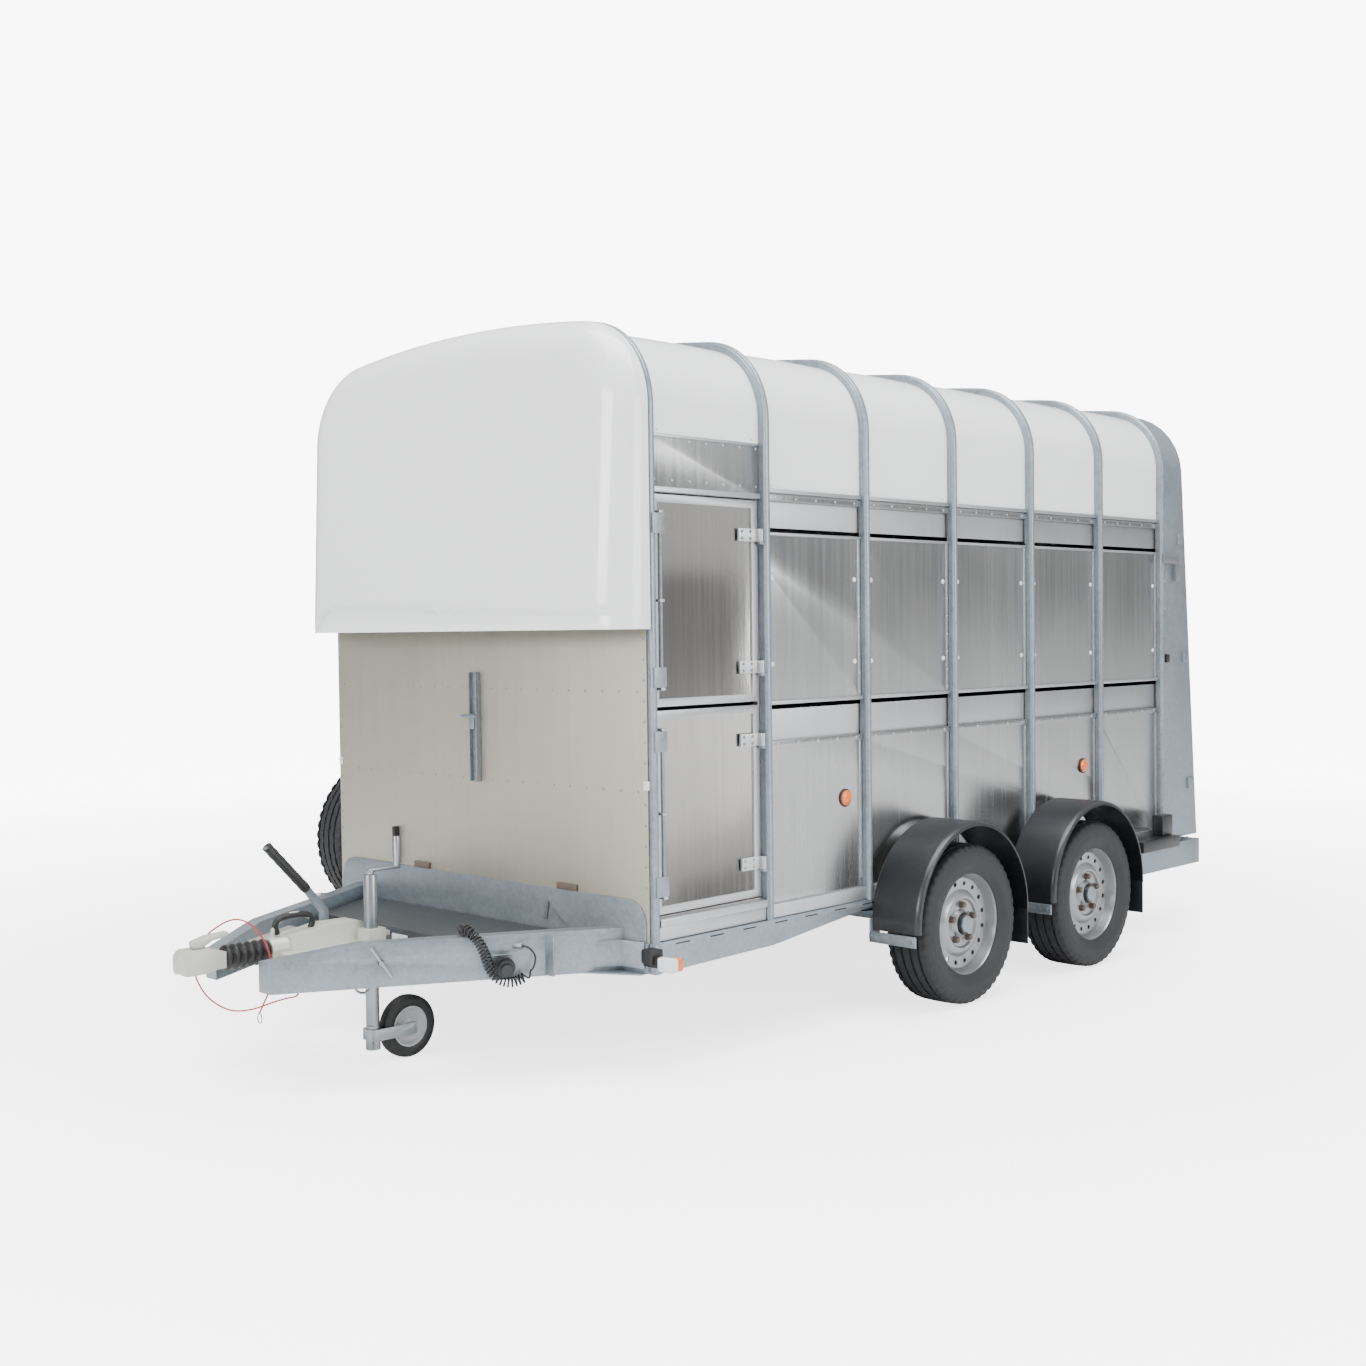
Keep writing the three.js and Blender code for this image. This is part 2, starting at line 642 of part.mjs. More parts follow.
function roofSkin() {
  const band = archBand(HOOP_DEPTH + GAP, SHEET, ROOF_RAIL_TOP + GAP);
  const doorNotch = box(
    PANEL_INNER - 5, HALF_WIDTH,
    -HOOP_WIDTH - 1, BAY - HOOP_WIDTH + 10,
    ROOF_RAIL_TOP - 1, DOOR_HEADER_TOP + GAP,
  );
  return sweepY(band, -HOOP_WIDTH, BODY_LENGTH).subtract(doorNotch);
}
add('roof_skin', roofSkin(), 'gelcoat');

// ---------------------------------------------------------------- side panels
function baySpan(bay) {
  return [bay * BAY + 2, (bay + 1) * BAY - HOOP_WIDTH - 2];
}

function rectangle(y0, y1, z0, z1) {
  return [[y0, z0], [y1, z0], [y1, z1], [y0, z1]];
}

// The kerb side has a door in its first bay; the far side has vents there too.
function sidePanel(sign, firstVentBay) {
  const windows = [];
  const ledges = [];
  const faces = sign > 0 ? [PANEL_INNER, PANEL_OUTER] : [-PANEL_OUTER, -PANEL_INNER];
  const window = (y0, y1, z0, z1) => box(faces[0] - 1, faces[1] + 1, y0, y1, z0, z1);
  const ledgeOut = sign * (PANEL_OUTER + LEDGE_DEPTH);
  const [x0, x1] = [Math.min(faces[0], ledgeOut), Math.max(faces[1], ledgeOut)];
  for (let bay = firstVentBay; bay < BAY_COUNT; bay += 1) {
    const [y0, y1] = baySpan(bay);
    windows.push(window(y0, y1, UPPER_VENT_BOTTOM, ROOF_RAIL_BOTTOM));
    windows.push(window(y0, y1, LOWER_VENT_BOTTOM, LOWER_VENT_TOP));
    ledges.push(box(x0, x1, y0, y1, LOWER_VENT_BOTTOM - LEDGE_HEIGHT, LOWER_VENT_BOTTOM));
    ledges.push(box(x0, x1, y0, y1, ROOF_RAIL_BOTTOM, ROOF_RAIL_BOTTOM + LEDGE_HEIGHT));
  }
  let panel = box(...faces, -HOOP_WIDTH, BODY_LENGTH, HOOP_FOOT, ROOF_RAIL_TOP);
  if (sign > 0) {
    const headerRear = BAY - HOOP_WIDTH + 9;
    windows.push(window(2, BAY - HOOP_WIDTH - 2, DOOR_OPENING_BOTTOM, DOOR_OPENING_TOP));
    panel = panel.add(box(...faces, -HOOP_WIDTH, headerRear, ROOF_RAIL_TOP - 30, DOOR_HEADER_TOP));
  }
  return join(panel.subtract(join(...windows)), ...ledges);
}
add('side_panel_left', sidePanel(1, 1), 'aluminium');
add('side_panel_right', sidePanel(-1, 0), 'aluminium');

// Vent flaps: the upper one hangs from its top edge, the lower one stands on its
// bottom edge, and both fold into the body.
function ventFlap(sign, firstBay, z0, z1) {
  const outer = PANEL_INNER - FLAP_SETBACK;
  const [x0, x1] = sign > 0 ? [outer - SHEET, outer] : [-outer, -outer + SHEET];
  return box(x0, x1, firstBay * BAY + 2, BODY_LENGTH - 2, z0, z1);
}
for (const [side, sign] of SIDES) {
  const firstBay = sign > 0 ? 1 : 0;
  const upper = [UPPER_VENT_BOTTOM + VENT_SLOT, ROOF_RAIL_BOTTOM + VENT_LAP];
  const lower = [LOWER_VENT_BOTTOM - VENT_LAP, LOWER_VENT_TOP - VENT_SLOT];
  add(`vent_flap_upper_${side}`, ventFlap(sign, firstBay, ...upper), 'aluminium');
  add(`vent_flap_lower_${side}`, ventFlap(sign, firstBay, ...lower), 'aluminium');
}

// ---------------------------------------------------------------- front wall and nose
const WALL_REAR_Y = -(HOOP_WIDTH + WALL_GAP);
const wallOutline = [
  [-WALL_HALF_WIDTH, RAIL_TOP + GAP],
  [WALL_HALF_WIDTH, RAIL_TOP + GAP],
  [WALL_HALF_WIDTH, NOSE_BOTTOM - GAP],
  [-WALL_HALF_WIDTH, NOSE_BOTTOM - GAP],
];
add('front_wall', sweepY(wallOutline, WALL_REAR_Y - WALL_THICKNESS, WALL_REAR_Y), 'aluminium');

// One ring of the moulded nose: its outline drawn in by `inset`, pushed forward.
function noseRing(inset, forward) {
  const foot = NOSE_BOTTOM + 0.25 * inset;
  return arch(inset, foot).map(([x, z]) => {
    const lean = forward * NOSE_LEAN * ((z - NOSE_BOTTOM) / NOSE_DEPTH);
    return [x, -HOOP_WIDTH - GAP - forward + lean, z];
  });
}

function noseSolid(skin, rear) {
  const rings = [noseRing(skin, rear)];
  const straight = NOSE_DEPTH - NOSE_EDGE_RADIUS;
  const steps = 5;
  for (let i = 0; i <= steps; i += 1) {
    const angle = (Math.PI / 2) * (i / steps);
    const inset = skin + (NOSE_EDGE_RADIUS - skin) * (1 - Math.cos(angle));
    const forward = straight + (NOSE_EDGE_RADIUS - skin) * Math.sin(angle);
    rings.push(noseRing(inset, forward));
  }
  return loft(rings);
}

function noseCone() {
  const hollow = noseSolid(NOSE_SKIN, -2).translate([0, 0, NOSE_SKIN]);
  const ceiling = box(-HALF_WIDTH, HALF_WIDTH, -400, 0, NOSE_BOTTOM + NOSE_SKIN, ROOF_TOP - NOSE_SKIN);
  return noseSolid(0, 0).subtract(hollow.intersect(ceiling));
}
add('nose_cone', noseCone(), 'gelcoat');

// ---------------------------------------------------------------- rear ramp
// A tray: a sloping deck with cheeks that reach forward to the last hoop.
const RAMP_SLOPE = (RAMP_DEPTH_BOTTOM - RAMP_DEPTH_TOP) / (ROOF_TOP - RAMP_BOTTOM);

function rampBlock(inset, setback, frontY) {
  const rearAt = (z) => RAMP_REAR_Y - setback - RAMP_SLOPE * (z - RAMP_BOTTOM);
  const low = RAMP_BOTTOM - 50;
  const high = ROOF_TOP + 50;
  const wedge = [[frontY, low], [rearAt(low), low], [rearAt(high), high], [frontY, high]];
  const foot = RAMP_BOTTOM - (setback > 0 ? 20 : 0);
  return sweepY(arch(inset, foot), frontY, RAMP_REAR_Y + 50).intersect(
    sweepX(wedge, -HALF_WIDTH, HALF_WIDTH),
  );
}

function rampPanel() {
  const front = BODY_LENGTH + 4;
  const shell = rampBlock(RAMP_INSET, 0, front);
  const hollow = rampBlock(RAMP_INSET + RAMP_CHEEK, RAMP_DECK, front - 5);
  return shell.subtract(hollow);
}
add('ramp_panel', rampPanel(), 'aluminium');

// Ramp catch: a pivoted hook on each cheek that reaches over the last hoop.
const CATCH_Z = 1610;
const CATCH_Y = BODY_LENGTH + 90;
function rampCatch(sign) {
  const cheek = HALF_WIDTH - RAMP_INSET;
  const inner = HALF_WIDTH + GAP * 2;
  const plate = rectangle(BODY_LENGTH - 26, CATCH_Y + 22, CATCH_Z - 20, CATCH_Z + 20);
  const grip = rectangle(CATCH_Y - 4, CATCH_Y + 22, CATCH_Z - 95, CATCH_Z);
  const [x0, x1] = sign > 0 ? [inner, inner + 6] : [-inner - 6, -inner];
  const [p0, p1] = sign > 0 ? [cheek + GAP, inner + 2] : [-inner - 2, -cheek - GAP];
  return join(
    sweepX(plate, x0, x1),
    sweepX(grip, x0, x1),
    bar('x', 11, p0, p1, [CATCH_Y, CATCH_Z], 12),
  );
}
for (const [side, sign] of SIDES) add(`ramp_catch_${side}`, rampCatch(sign), 'galvanised');

// ---------------------------------------------------------------- axles, springs, wheels
const BEAM_HALF = AXLE_BEAM / 2;
const HUB_BACK = TYRE_INNER_FACE + 6;
const SPINDLE_RADIUS = 24;

function axle(y) {
  const beamEnd = HUB_BACK - 30;
  return join(
    box(-beamEnd, beamEnd, y - BEAM_HALF, y + BEAM_HALF, AXLE_Z - BEAM_HALF, AXLE_Z + BEAM_HALF),
    bar('x', SPINDLE_RADIUS, -HUB_BACK + GAP, HUB_BACK - GAP, [y, AXLE_Z], 12),
  );
}

function leafSpring(sign, y) {
  const seat = AXLE_Z + BEAM_HALF + GAP;
  const leaf = (length, lift, sag) => {
    const top = [];
    const bottom = [];
    for (let i = 0; i <= 8; i += 1) {
      const t = -1 + i / 4;
      const z = seat + lift + sag * t * t;
      bottom.push([y + t * length, z]);
      top.push([y + t * length, z + SPRING_LEAF]);
    }
    return [...bottom, ...top.reverse()];
  };
  const x0 = sign * SPRING_X - SPRING_WIDTH / 2;
  const x1 = sign * SPRING_X + SPRING_WIDTH / 2;
  const sag = SPRING_END_Z - seat - SPRING_LEAF;
  const main = sweepX(leaf(SPRING_HALF_LENGTH, SPRING_LEAF - 1, sag + 1), x0, x1);
  const short = sweepX(leaf(SPRING_HALF_LENGTH * 0.6, 0, sag * 0.36), x0, x1);
  return join(main, short);
}

function tyre(sign, y) {
  const width = TYRE_WIDTH;
  const bead = (width - RIM_WIDTH) / 2 + 4 + GAP;
  const shape = [
    [bead, RIM_SEAT_RADIUS + GAP], [bead, RIM_RADIUS + GAP], [2, RIM_RADIUS + 24],
    [0, RIM_RADIUS + 46], [14, TYRE_RADIUS - 16], [34, TYRE_RADIUS],
    [width - 34, TYRE_RADIUS], [width - 14, TYRE_RADIUS - 16], [width, RIM_RADIUS + 46],
    [width - 2, RIM_RADIUS + 24], [width - bead, RIM_RADIUS + GAP],
    [width - bead, RIM_SEAT_RADIUS + GAP],
  ];
  const placed = shape.map(([x, r]) => [sign * (TYRE_INNER_FACE + x), r]);
  return turnedX(placed, y, AXLE_Z, WHEEL_SIDES, true);
}

// Pressed steel wheel with its brake drum and hub.
function rim(sign, y) {
  const inner = TYRE_INNER_FACE + (TYRE_WIDTH - RIM_WIDTH) / 2;
  const outer = inner + RIM_WIDTH;
  const disc = WHEEL_X + 16;
  const shape = [
    [HUB_BACK, 0], [HUB_BACK, 105], [HUB_BACK + 50, 105], [HUB_BACK + 50, 70],
    [disc, 90], [disc - 4, RIM_SEAT_RADIUS - 12], [inner, RIM_SEAT_RADIUS - 8],
    [inner, RIM_RADIUS], [inner + 4, RIM_RADIUS], [inner + 4, RIM_SEAT_RADIUS],
    [outer - 4, RIM_SEAT_RADIUS], [outer - 4, RIM_RADIUS], [outer, RIM_RADIUS],
    [outer, RIM_SEAT_RADIUS - 8], [disc + 6, RIM_SEAT_RADIUS - 14], [disc + 14, 90],
    [disc + 2, 80], [disc + 2, HUB_RADIUS], [disc + 40, HUB_RADIUS - 4], [disc + 40, 0],
  ];
  return turnedX(shape.map(([x, r]) => [sign * x, r]), y, AXLE_Z, WHEEL_SIDES);
}

const AXLE_NAMES = ['front', 'rear'];
AXLE_Y.forEach((y, i) => {
  const end = AXLE_NAMES[i];
  add(`axle_${end}`, axle(y), 'galvanised');
  for (const [side, sign] of SIDES) {
    add(`leaf_spring_${end}_${side}`, leafSpring(sign, y), 'galvanised');
    add(`tyre_${end}_${side}`, tyre(sign, y), 'rubber');
    add(`rim_${end}_${side}`, rim(sign, y), 'silverSteel');
    add(`mudguard_${end}_${side}`, mudguard(sign, y), 'blackPlastic');
  }
});

// Mudguard: a rolled plastic band with a lip round its outer edge and a flap behind.
function mudguard(sign, y) {
  const centreZ = AXLE_Z + GUARD_LIFT;
  const drop = Math.asin((centreZ - GUARD_END_Z) / GUARD_RADIUS);
  const ring = (radius) => {
    const points = [];
    for (let i = 0; i <= 16; i += 1) {
      const angle = -drop + ((Math.PI + 2 * drop) * i) / 16;
      points.push([y + radius * Math.cos(angle), centreZ + radius * Math.sin(angle)]);
    }
    return points;
  };
  const band = (inner) => [...ring(GUARD_RADIUS), ...ring(inner).reverse()];
  const span = (a, b) => (sign > 0 ? [a, b] : [-b, -a]);
  const rearY = y + GUARD_RADIUS * Math.cos(drop);
  const [f0, f1] = span(GUARD_INNER + 10, GUARD_OUTER - 10);
  return join(
    sweepX(band(GUARD_RADIUS - GUARD_SKIN), ...span(GUARD_INNER, GUARD_OUTER)),
    sweepX(band(GUARD_RADIUS - GUARD_LIP), ...span(GUARD_OUTER - GUARD_SKIN, GUARD_OUTER)),
    box(f0, f1, rearY - 3, rearY + 1, GUARD_END_Z - 125, GUARD_END_Z + 40),
  );
}

// Spare wheel hung on the far side, flat against the first bays.
function spareWheel() {
  const inner = HALF_WIDTH + GAP * 2;
  const outer = inner + SPARE_WIDTH;
  const radius = TYRE_RADIUS + 12;
  const shape = [
    [inner + 40, 0], [inner + 40, RIM_SEAT_RADIUS - 20], [inner + 12, RIM_SEAT_RADIUS],
    [inner, radius - 60], [inner + 14, radius - 14], [inner + 34, radius],
    [outer - 34, radius], [outer - 14, radius - 14], [outer, radius - 60],
    [outer - 12, RIM_SEAT_RADIUS], [outer - 60, RIM_SEAT_RADIUS - 20], [outer - 60, 0],
  ];
  return turnedX(shape.map(([x, r]) => [-x, r]), SPARE_Y, SPARE_Z, WHEEL_SIDES);
}
add('spare_wheel', spareWheel(), 'rubber');

// ---------------------------------------------------------------- hitch
function headBody() {
  const side = [
    [HEAD_TIP_Y, 396], [HEAD_TIP_Y + 6, 374], [HEAD_TIP_Y + 20, HEAD_BOTTOM],
    [HEAD_TIP_Y + 84, HEAD_BOTTOM], [HEAD_REAR_Y - 30, COUPLING_Z - SHAFT_RADIUS],
    [HEAD_REAR_Y, COUPLING_Z - SHAFT_RADIUS], [HEAD_REAR_Y, COUPLING_Z + SHAFT_RADIUS],
    [HEAD_REAR_Y - 50, HEAD_TOP], [HEAD_TIP_Y + 30, HEAD_TOP], [HEAD_TIP_Y + 4, 416],
  ];
  const plan = [[HEAD_HALF_WIDTH - 8, HEAD_REAR_Y]];
  for (let i = 0; i <= 8; i += 1) {
    const angle = (Math.PI * i) / 8;
    const x = HEAD_HALF_WIDTH * Math.cos(angle);
    plan.push([x, HEAD_TIP_Y + HEAD_HALF_WIDTH - HEAD_HALF_WIDTH * Math.sin(angle)]);
  }
  plan.push([-HEAD_HALF_WIDTH + 8, HEAD_REAR_Y]);
  const body = sweepX(side, -HEAD_HALF_WIDTH, HEAD_HALF_WIDTH).intersect(
    sweepZ(plan.reverse(), HEAD_BOTTOM - 1, HEAD_TOP + 1),
  );
  const cup = bar('z', BALL_CUP_RADIUS, HEAD_BOTTOM - 5, COUPLING_Z + 14, [0, BALL_Y], 16);
  const shaftEnd = HOUSING_FRONT_Y + BORE_DEPTH - OVERRUN_TRAVEL - 12;
  const shaft = bar('y', SHAFT_RADIUS, HEAD_REAR_Y - 5, shaftEnd, [0, COUPLING_Z], 16);
  return join(body.subtract(cup), shaft);
}
add('coupling_head', headBody(), 'castPaint');

// Hand lever on top of the head that opens the ball lock.
const HEAD_LEVER_Y = BALL_Y + 34;
const HEAD_LEVER_Z = HEAD_TOP + 14;
function headLever() {
  const side = [
    [HEAD_LEVER_Y - 22, HEAD_LEVER_Z - 12], [HEAD_LEVER_Y + 6, HEAD_LEVER_Z - 13],
    [HEAD_LEVER_Y + 40, HEAD_LEVER_Z + 4], [HEAD_LEVER_Y + 92, HEAD_LEVER_Z + 10],
    [HEAD_LEVER_Y + 90, HEAD_LEVER_Z + 24], [HEAD_LEVER_Y + 20, HEAD_LEVER_Z + 20],
    [HEAD_LEVER_Y - 24, HEAD_LEVER_Z + 8],
  ];
  return sweepX(side, -13, 13);
}
add('coupling_lever', headLever(), 'castPaint');

// Pleated rubber bellows over the overrun shaft.
function bellows() {
  const front = HEAD_REAR_Y + GAP;
  const rear = HOUSING_FRONT_Y - GAP;
  const inner = SHAFT_RADIUS + SHAFT_CLEARANCE;
  const profile = [[inner, front], [inner, rear]];
  const pitch = (rear - front) / BELLOWS_FOLDS;
  for (let i = BELLOWS_FOLDS; i >= 0; i -= 1) {
    profile.push([BELLOWS_RADIUS - 7, front + i * pitch]);
    if (i > 0) profile.push([BELLOWS_RADIUS, front + (i - 0.5) * pitch]);
  }
  profile.push(profile[0]);
  const points = profile.map(([r, y]) => new THREE.Vector2(r, y));
  const geometry = new THREE.LatheGeometry(points, 14);
  geometry.translate(0, 0, 0);
  geometry.applyMatrix4(new THREE.Matrix4().makeTranslation(0, 0, COUPLING_Z));
  return outward(solid(geometry), geometry);
}
add('bellows', bellows(), 'rubber');

// Cast overrun housing bolted between the arms, with the jockey clamp on it and
// a grab handle over the top.
const CLAMP_HALF = 32;
function couplingHousing() {
  const wing = (y) => armInner(y) - GAP;
  const plateFront = HOUSING_FRONT_Y + 22;
  const plateRear = HOUSING_REAR_Y - 120;
  const plate = [
    [-wing(plateFront), plateFront], [wing(plateFront), plateFront],
    [wing(plateRear), plateRear], [-wing(plateRear), plateRear],
  ];
  const ridge = [
    [HOUSING_FRONT_Y + 60, 386], [HOUSING_REAR_Y, 386], [HOUSING_REAR_Y, 400],
    [HOUSING_REAR_Y - 110, 446], [HOUSING_REAR_Y - 220, 448],
    [HOUSING_FRONT_Y + 60, COUPLING_Z + HOUSING_RADIUS - 2],
  ];
  const handle = tube(
    [[0, -822, 424], [0, -818, 452], [0, -790, 480], [0, -745, 490], [0, -700, 478],
      [0, -676, 452], [0, -672, 430]],
    7, 8, 18,
  );
  const lug = box(
    34, JOCKEY_X + CLAMP_HALF, JOCKEY_Y - CLAMP_HALF, JOCKEY_Y + CLAMP_HALF, 352, 424,
  );
  const body = join(
    bar('y', HOUSING_RADIUS, HOUSING_FRONT_Y, HOUSING_FRONT_Y + BORE_DEPTH + 20, [0, COUPLING_Z], 20),
    sweepZ(plate, 374, 386.5),
    sweepX(ridge, -42, 42),
    bar('x', 13, LEVER_X + GAP, -40, [LEVER_PIVOT_Y, LEVER_PIVOT_Z], 12),
    rod([30, -757, 380], [30, -757, 258.4], 6, 8),
    lug,
    handle,
  );
  const bore = bar(
    'y', SHAFT_RADIUS + SHAFT_CLEARANCE, HOUSING_FRONT_Y - 1, HOUSING_FRONT_Y + BORE_DEPTH,
    [0, COUPLING_Z], 16,
  );
  const post = bar('z', JOCKEY_TUBE_RADIUS + GAP, 300, 500, [JOCKEY_X, JOCKEY_Y], 16);
  const screw = rod(screwPoint(SCREW_START - 8), screwPoint(SCREW_LENGTH), SCREW_RADIUS + 1, 12);
  const slot = box(LEVER_X - 14, LEVER_X + GAP, LEVER_PIVOT_Y - 44, LEVER_PIVOT_Y + 44, 370, 390);
  return body.subtract(join(bore, post, screw, slot));
}
add('coupling_housing', couplingHousing(), 'castPaint');

// Handbrake: a cranked flat blade with a round rubber grip.
function handbrake() {
  const y = LEVER_PIVOT_Y;
  const blade = [
    [y - 16, 372], [y + 16, 372], [y + 15, 478], [y - 62, 566], [y - 80, 552], [y - 16, 470],
  ];
  const inner = Math.abs(LEVER_X);
  return join(
    sweepX(blade, -inner - 8, -inner),
    rod([-inner - 4, y - 60, 546], [-inner - 4, y - 196, 692], 13, 12),
  );
}
add('handbrake_lever', handbrake(), 'galvanised');

// ---------------------------------------------------------------- jockey wheel
const jockeyAxis = [JOCKEY_X, JOCKEY_Y];
const JOCKEY_BORE = JOCKEY_TUBE_RADIUS - JOCKEY_TUBE_WALL;
const WHEEL_CENTRE_Y = JOCKEY_Y + JOCKEY_TRAIL;
const COLLAR_TOP = 112;

function jockeyTube() {
  const outer = bar('z', JOCKEY_TUBE_RADIUS, JOCKEY_TUBE_BOTTOM, JOCKEY_TUBE_TOP, jockeyAxis, 16);
  const bore = bar('z', JOCKEY_BORE, JOCKEY_TUBE_BOTTOM - 1, JOCKEY_TUBE_TOP - 8, jockeyAxis, 16);
  return outer.subtract(bore);
}

function jockeyCrank() {
  const top = JOCKEY_TUBE_TOP + GAP;
  const arm = box(JOCKEY_X - 9, JOCKEY_X + 9, JOCKEY_Y - 9, JOCKEY_Y + CRANK_THROW + 8, top + 8, top + 18);
  return join(
    bar('z', 12, top, top + 12, jockeyAxis, 12),
    arm,
    bar('z', 11, top + 17, top + 108, [JOCKEY_X, JOCKEY_Y + CRANK_THROW], 12),
  );
}

function jockeyStem() {
  return join(
    bar('z', JOCKEY_BORE - 0.6, COLLAR_TOP + 4, 400, jockeyAxis, 16),
    bar('z', JOCKEY_TUBE_RADIUS, COLLAR_TOP + GAP, JOCKEY_TUBE_BOTTOM - 1, jockeyAxis, 16),
  );
}

function jockeyFork() {
  const half = JOCKEY_WHEEL_WIDTH / 2 + 3;
  const outer = half + FORK_THICKNESS;
  const low = JOCKEY_AXLE_Z - 22;
  const high = JOCKEY_AXLE_Z + 14;
  const cheek = (x0, x1) => box(x0, x1, JOCKEY_Y - 16, WHEEL_CENTRE_Y + 16, low, high);
  return join(
    bar('z', JOCKEY_TUBE_RADIUS + 2, JOCKEY_AXLE_Z - 50, COLLAR_TOP, jockeyAxis, 16),
    box(JOCKEY_X - outer, JOCKEY_X + outer, JOCKEY_Y - 16, JOCKEY_Y + 18, low, high),
    cheek(JOCKEY_X + half, JOCKEY_X + outer),
    cheek(JOCKEY_X - outer, JOCKEY_X - half),
    bar('x', 6, JOCKEY_X - outer - 3, JOCKEY_X + outer + 3, [WHEEL_CENTRE_Y, JOCKEY_AXLE_Z], 10),
  );
}

function jockeyWheel() {
  const half = JOCKEY_WHEEL_WIDTH / 2;
  const radius = JOCKEY_WHEEL_RADIUS;
  const profile = [
    [-half, 7], [-half, radius - 30], [-half + 2, radius - 12], [-half + 12, radius],
    [half - 12, radius], [half - 2, radius - 12], [half, radius - 30], [half, 7],
  ];
  const placed = profile.map(([x, r]) => [JOCKEY_X + x, r]);
  return turnedX(placed, WHEEL_CENTRE_Y, JOCKEY_AXLE_Z, 24, true);
}

function clampScrew() {
  const end = screwPoint(SCREW_LENGTH - 8);
  const along = [-armRun.x * 30, -armRun.y * 30, 46];
  const low = end.map((value, i) => value - along[i]);
  const high = end.map((value, i) => value + along[i]);
  return join(
    rod(screwPoint(SCREW_START), screwPoint(SCREW_LENGTH), SCREW_RADIUS, 10),
    rod([low[0], low[1], 2 * SCREW_Z - high[2]], high, 5, 8),
  );
}

add('jockey_tube', jockeyTube(), 'galvanised');
add('jockey_crank', jockeyCrank(), 'galvanised');
add('jockey_stem', jockeyStem(), 'galvanised');
add('jockey_fork', jockeyFork(), 'galvanised');
add('jockey_wheel', jockeyWheel(), 'rubber');
add('clamp_screw', clampScrew(), 'galvanised');

// ---------------------------------------------------------------- tool box
function toolBox() {
  const inset = 12;
  const plan = [
    [-(armInner(BOX_FRONT_Y) - inset), BOX_FRONT_Y],
    [armInner(BOX_FRONT_Y) - inset, BOX_FRONT_Y],
    [armInner(BOX_REAR_Y) - inset, BOX_REAR_Y],
    [-(armInner(BOX_REAR_Y) - inset), BOX_REAR_Y],
  ];
  const leadClip = box(352, 388, -347.5, -332, BOX_TOP - 1, BOX_TOP + 24);
  return join(sweepZ(plan, BOX_BOTTOM, BOX_TOP), leadClip);
}
add('tool_box', toolBox(), 'greyBox');

// ---------------------------------------------------------------- cables
// Breakaway cable: from the brake linkage, round the coupling head and back.
const BREAKAWAY_ROUTE = [
  [30, -757, 257.6], [30, -757.5, 252], [29, -768, 246], [26, -796, 245], [20, -834, 240], [0, -899, 226], [-20, -957, 232],
  [-42, -1009, 271], [-55, -1039, 326], [-60, -1042, 362], [-62, -1030, 415],
  [-60, -1014, 440], [-54, -996, 462], [-43, -971, 480], [-28, -952, 492], [-10, -930, 496],
  [10, -906, 484], [32, -889, 458], [46, -877, 430], [55, -868, 398], [58, -866, 364],
  [58, -867, 333], [54, -871, 284], [48, -884, 250], [40, -894, 222],
];
const BREAKAWAY_RADIUS = 2.5;
add('breakaway_cable', tube(BREAKAWAY_ROUTE, BREAKAWAY_RADIUS, 8, 66), 'redCable');

// Coiled lead, as the outer shape of its coil: it leaves a gland on the kerb-side
// arm, loops under the plug and crosses over the arm to the tool box.
const LEAD_ROUTE = [
  [556, -322, 399], [568, -318, 399], [580, -308, 388], [584, -297, 366], [578, -299, 338],
  [568, -312, 316], [553, -336, 300], [538, -361, 296], [520, -391, 310], [510, -409, 341],
  [504, -420, 378], [496, -434, 414], [482, -448, 440], [458, -452, 453], [430, -442, 453],
  [404, -424, 446], [386, -400, 426], [372, -378, 411], [370, -362, 406.5], [370, -348, 406.5],
];
const LEAD_COIL_RADIUS = 15;
add('lead_coil', tube(LEAD_ROUTE, LEAD_COIL_RADIUS, 10, 32), 'blackPlastic');

// The origin is under the middle of the whole trailer.
group.position.set(0, -CENTRE_Y, 0);
group.updateMatrixWorld(true);

export default group;
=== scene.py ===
import math

import bmesh
import bpy
from mathutils import Matrix, Vector


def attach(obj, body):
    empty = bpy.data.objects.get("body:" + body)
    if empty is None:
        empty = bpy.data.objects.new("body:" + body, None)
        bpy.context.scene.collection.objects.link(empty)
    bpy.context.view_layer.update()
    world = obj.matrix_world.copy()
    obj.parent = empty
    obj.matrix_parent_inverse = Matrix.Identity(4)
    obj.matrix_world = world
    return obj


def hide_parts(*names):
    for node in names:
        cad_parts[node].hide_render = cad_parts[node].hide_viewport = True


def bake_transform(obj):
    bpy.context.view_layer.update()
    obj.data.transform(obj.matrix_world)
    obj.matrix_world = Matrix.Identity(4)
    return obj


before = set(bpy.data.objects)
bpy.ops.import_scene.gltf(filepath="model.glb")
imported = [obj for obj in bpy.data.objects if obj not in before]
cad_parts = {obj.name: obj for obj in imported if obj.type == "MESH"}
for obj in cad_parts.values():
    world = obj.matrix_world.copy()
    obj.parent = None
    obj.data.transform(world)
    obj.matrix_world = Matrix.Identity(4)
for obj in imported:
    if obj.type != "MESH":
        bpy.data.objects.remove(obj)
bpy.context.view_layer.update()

# ---------------------------------------------------------------- studio
# A pale seamless floor and three broad soft lamps in a pale surround. The bright
# backdrop and the floor's own glow are seen by the lens alone, so they light no
# part of the trailer. The lens stands at chest height off the front left corner.
eye = Vector((4.2467, -4.5621, 1.3313))
turn, dip, roll = math.radians(44.20), math.radians(1.898), math.radians(-0.695)
ahead = Vector((-math.sin(turn) * math.cos(dip), math.cos(turn) * math.cos(dip), -math.sin(dip)))
level = ahead.cross(Vector((0, 0, 1))).normalized()
upright = level.cross(ahead)
right = level * math.cos(roll) + upright * math.sin(roll)
top = upright * math.cos(roll) - level * math.sin(roll)
lens = bpy.data.cameras.new("Camera")
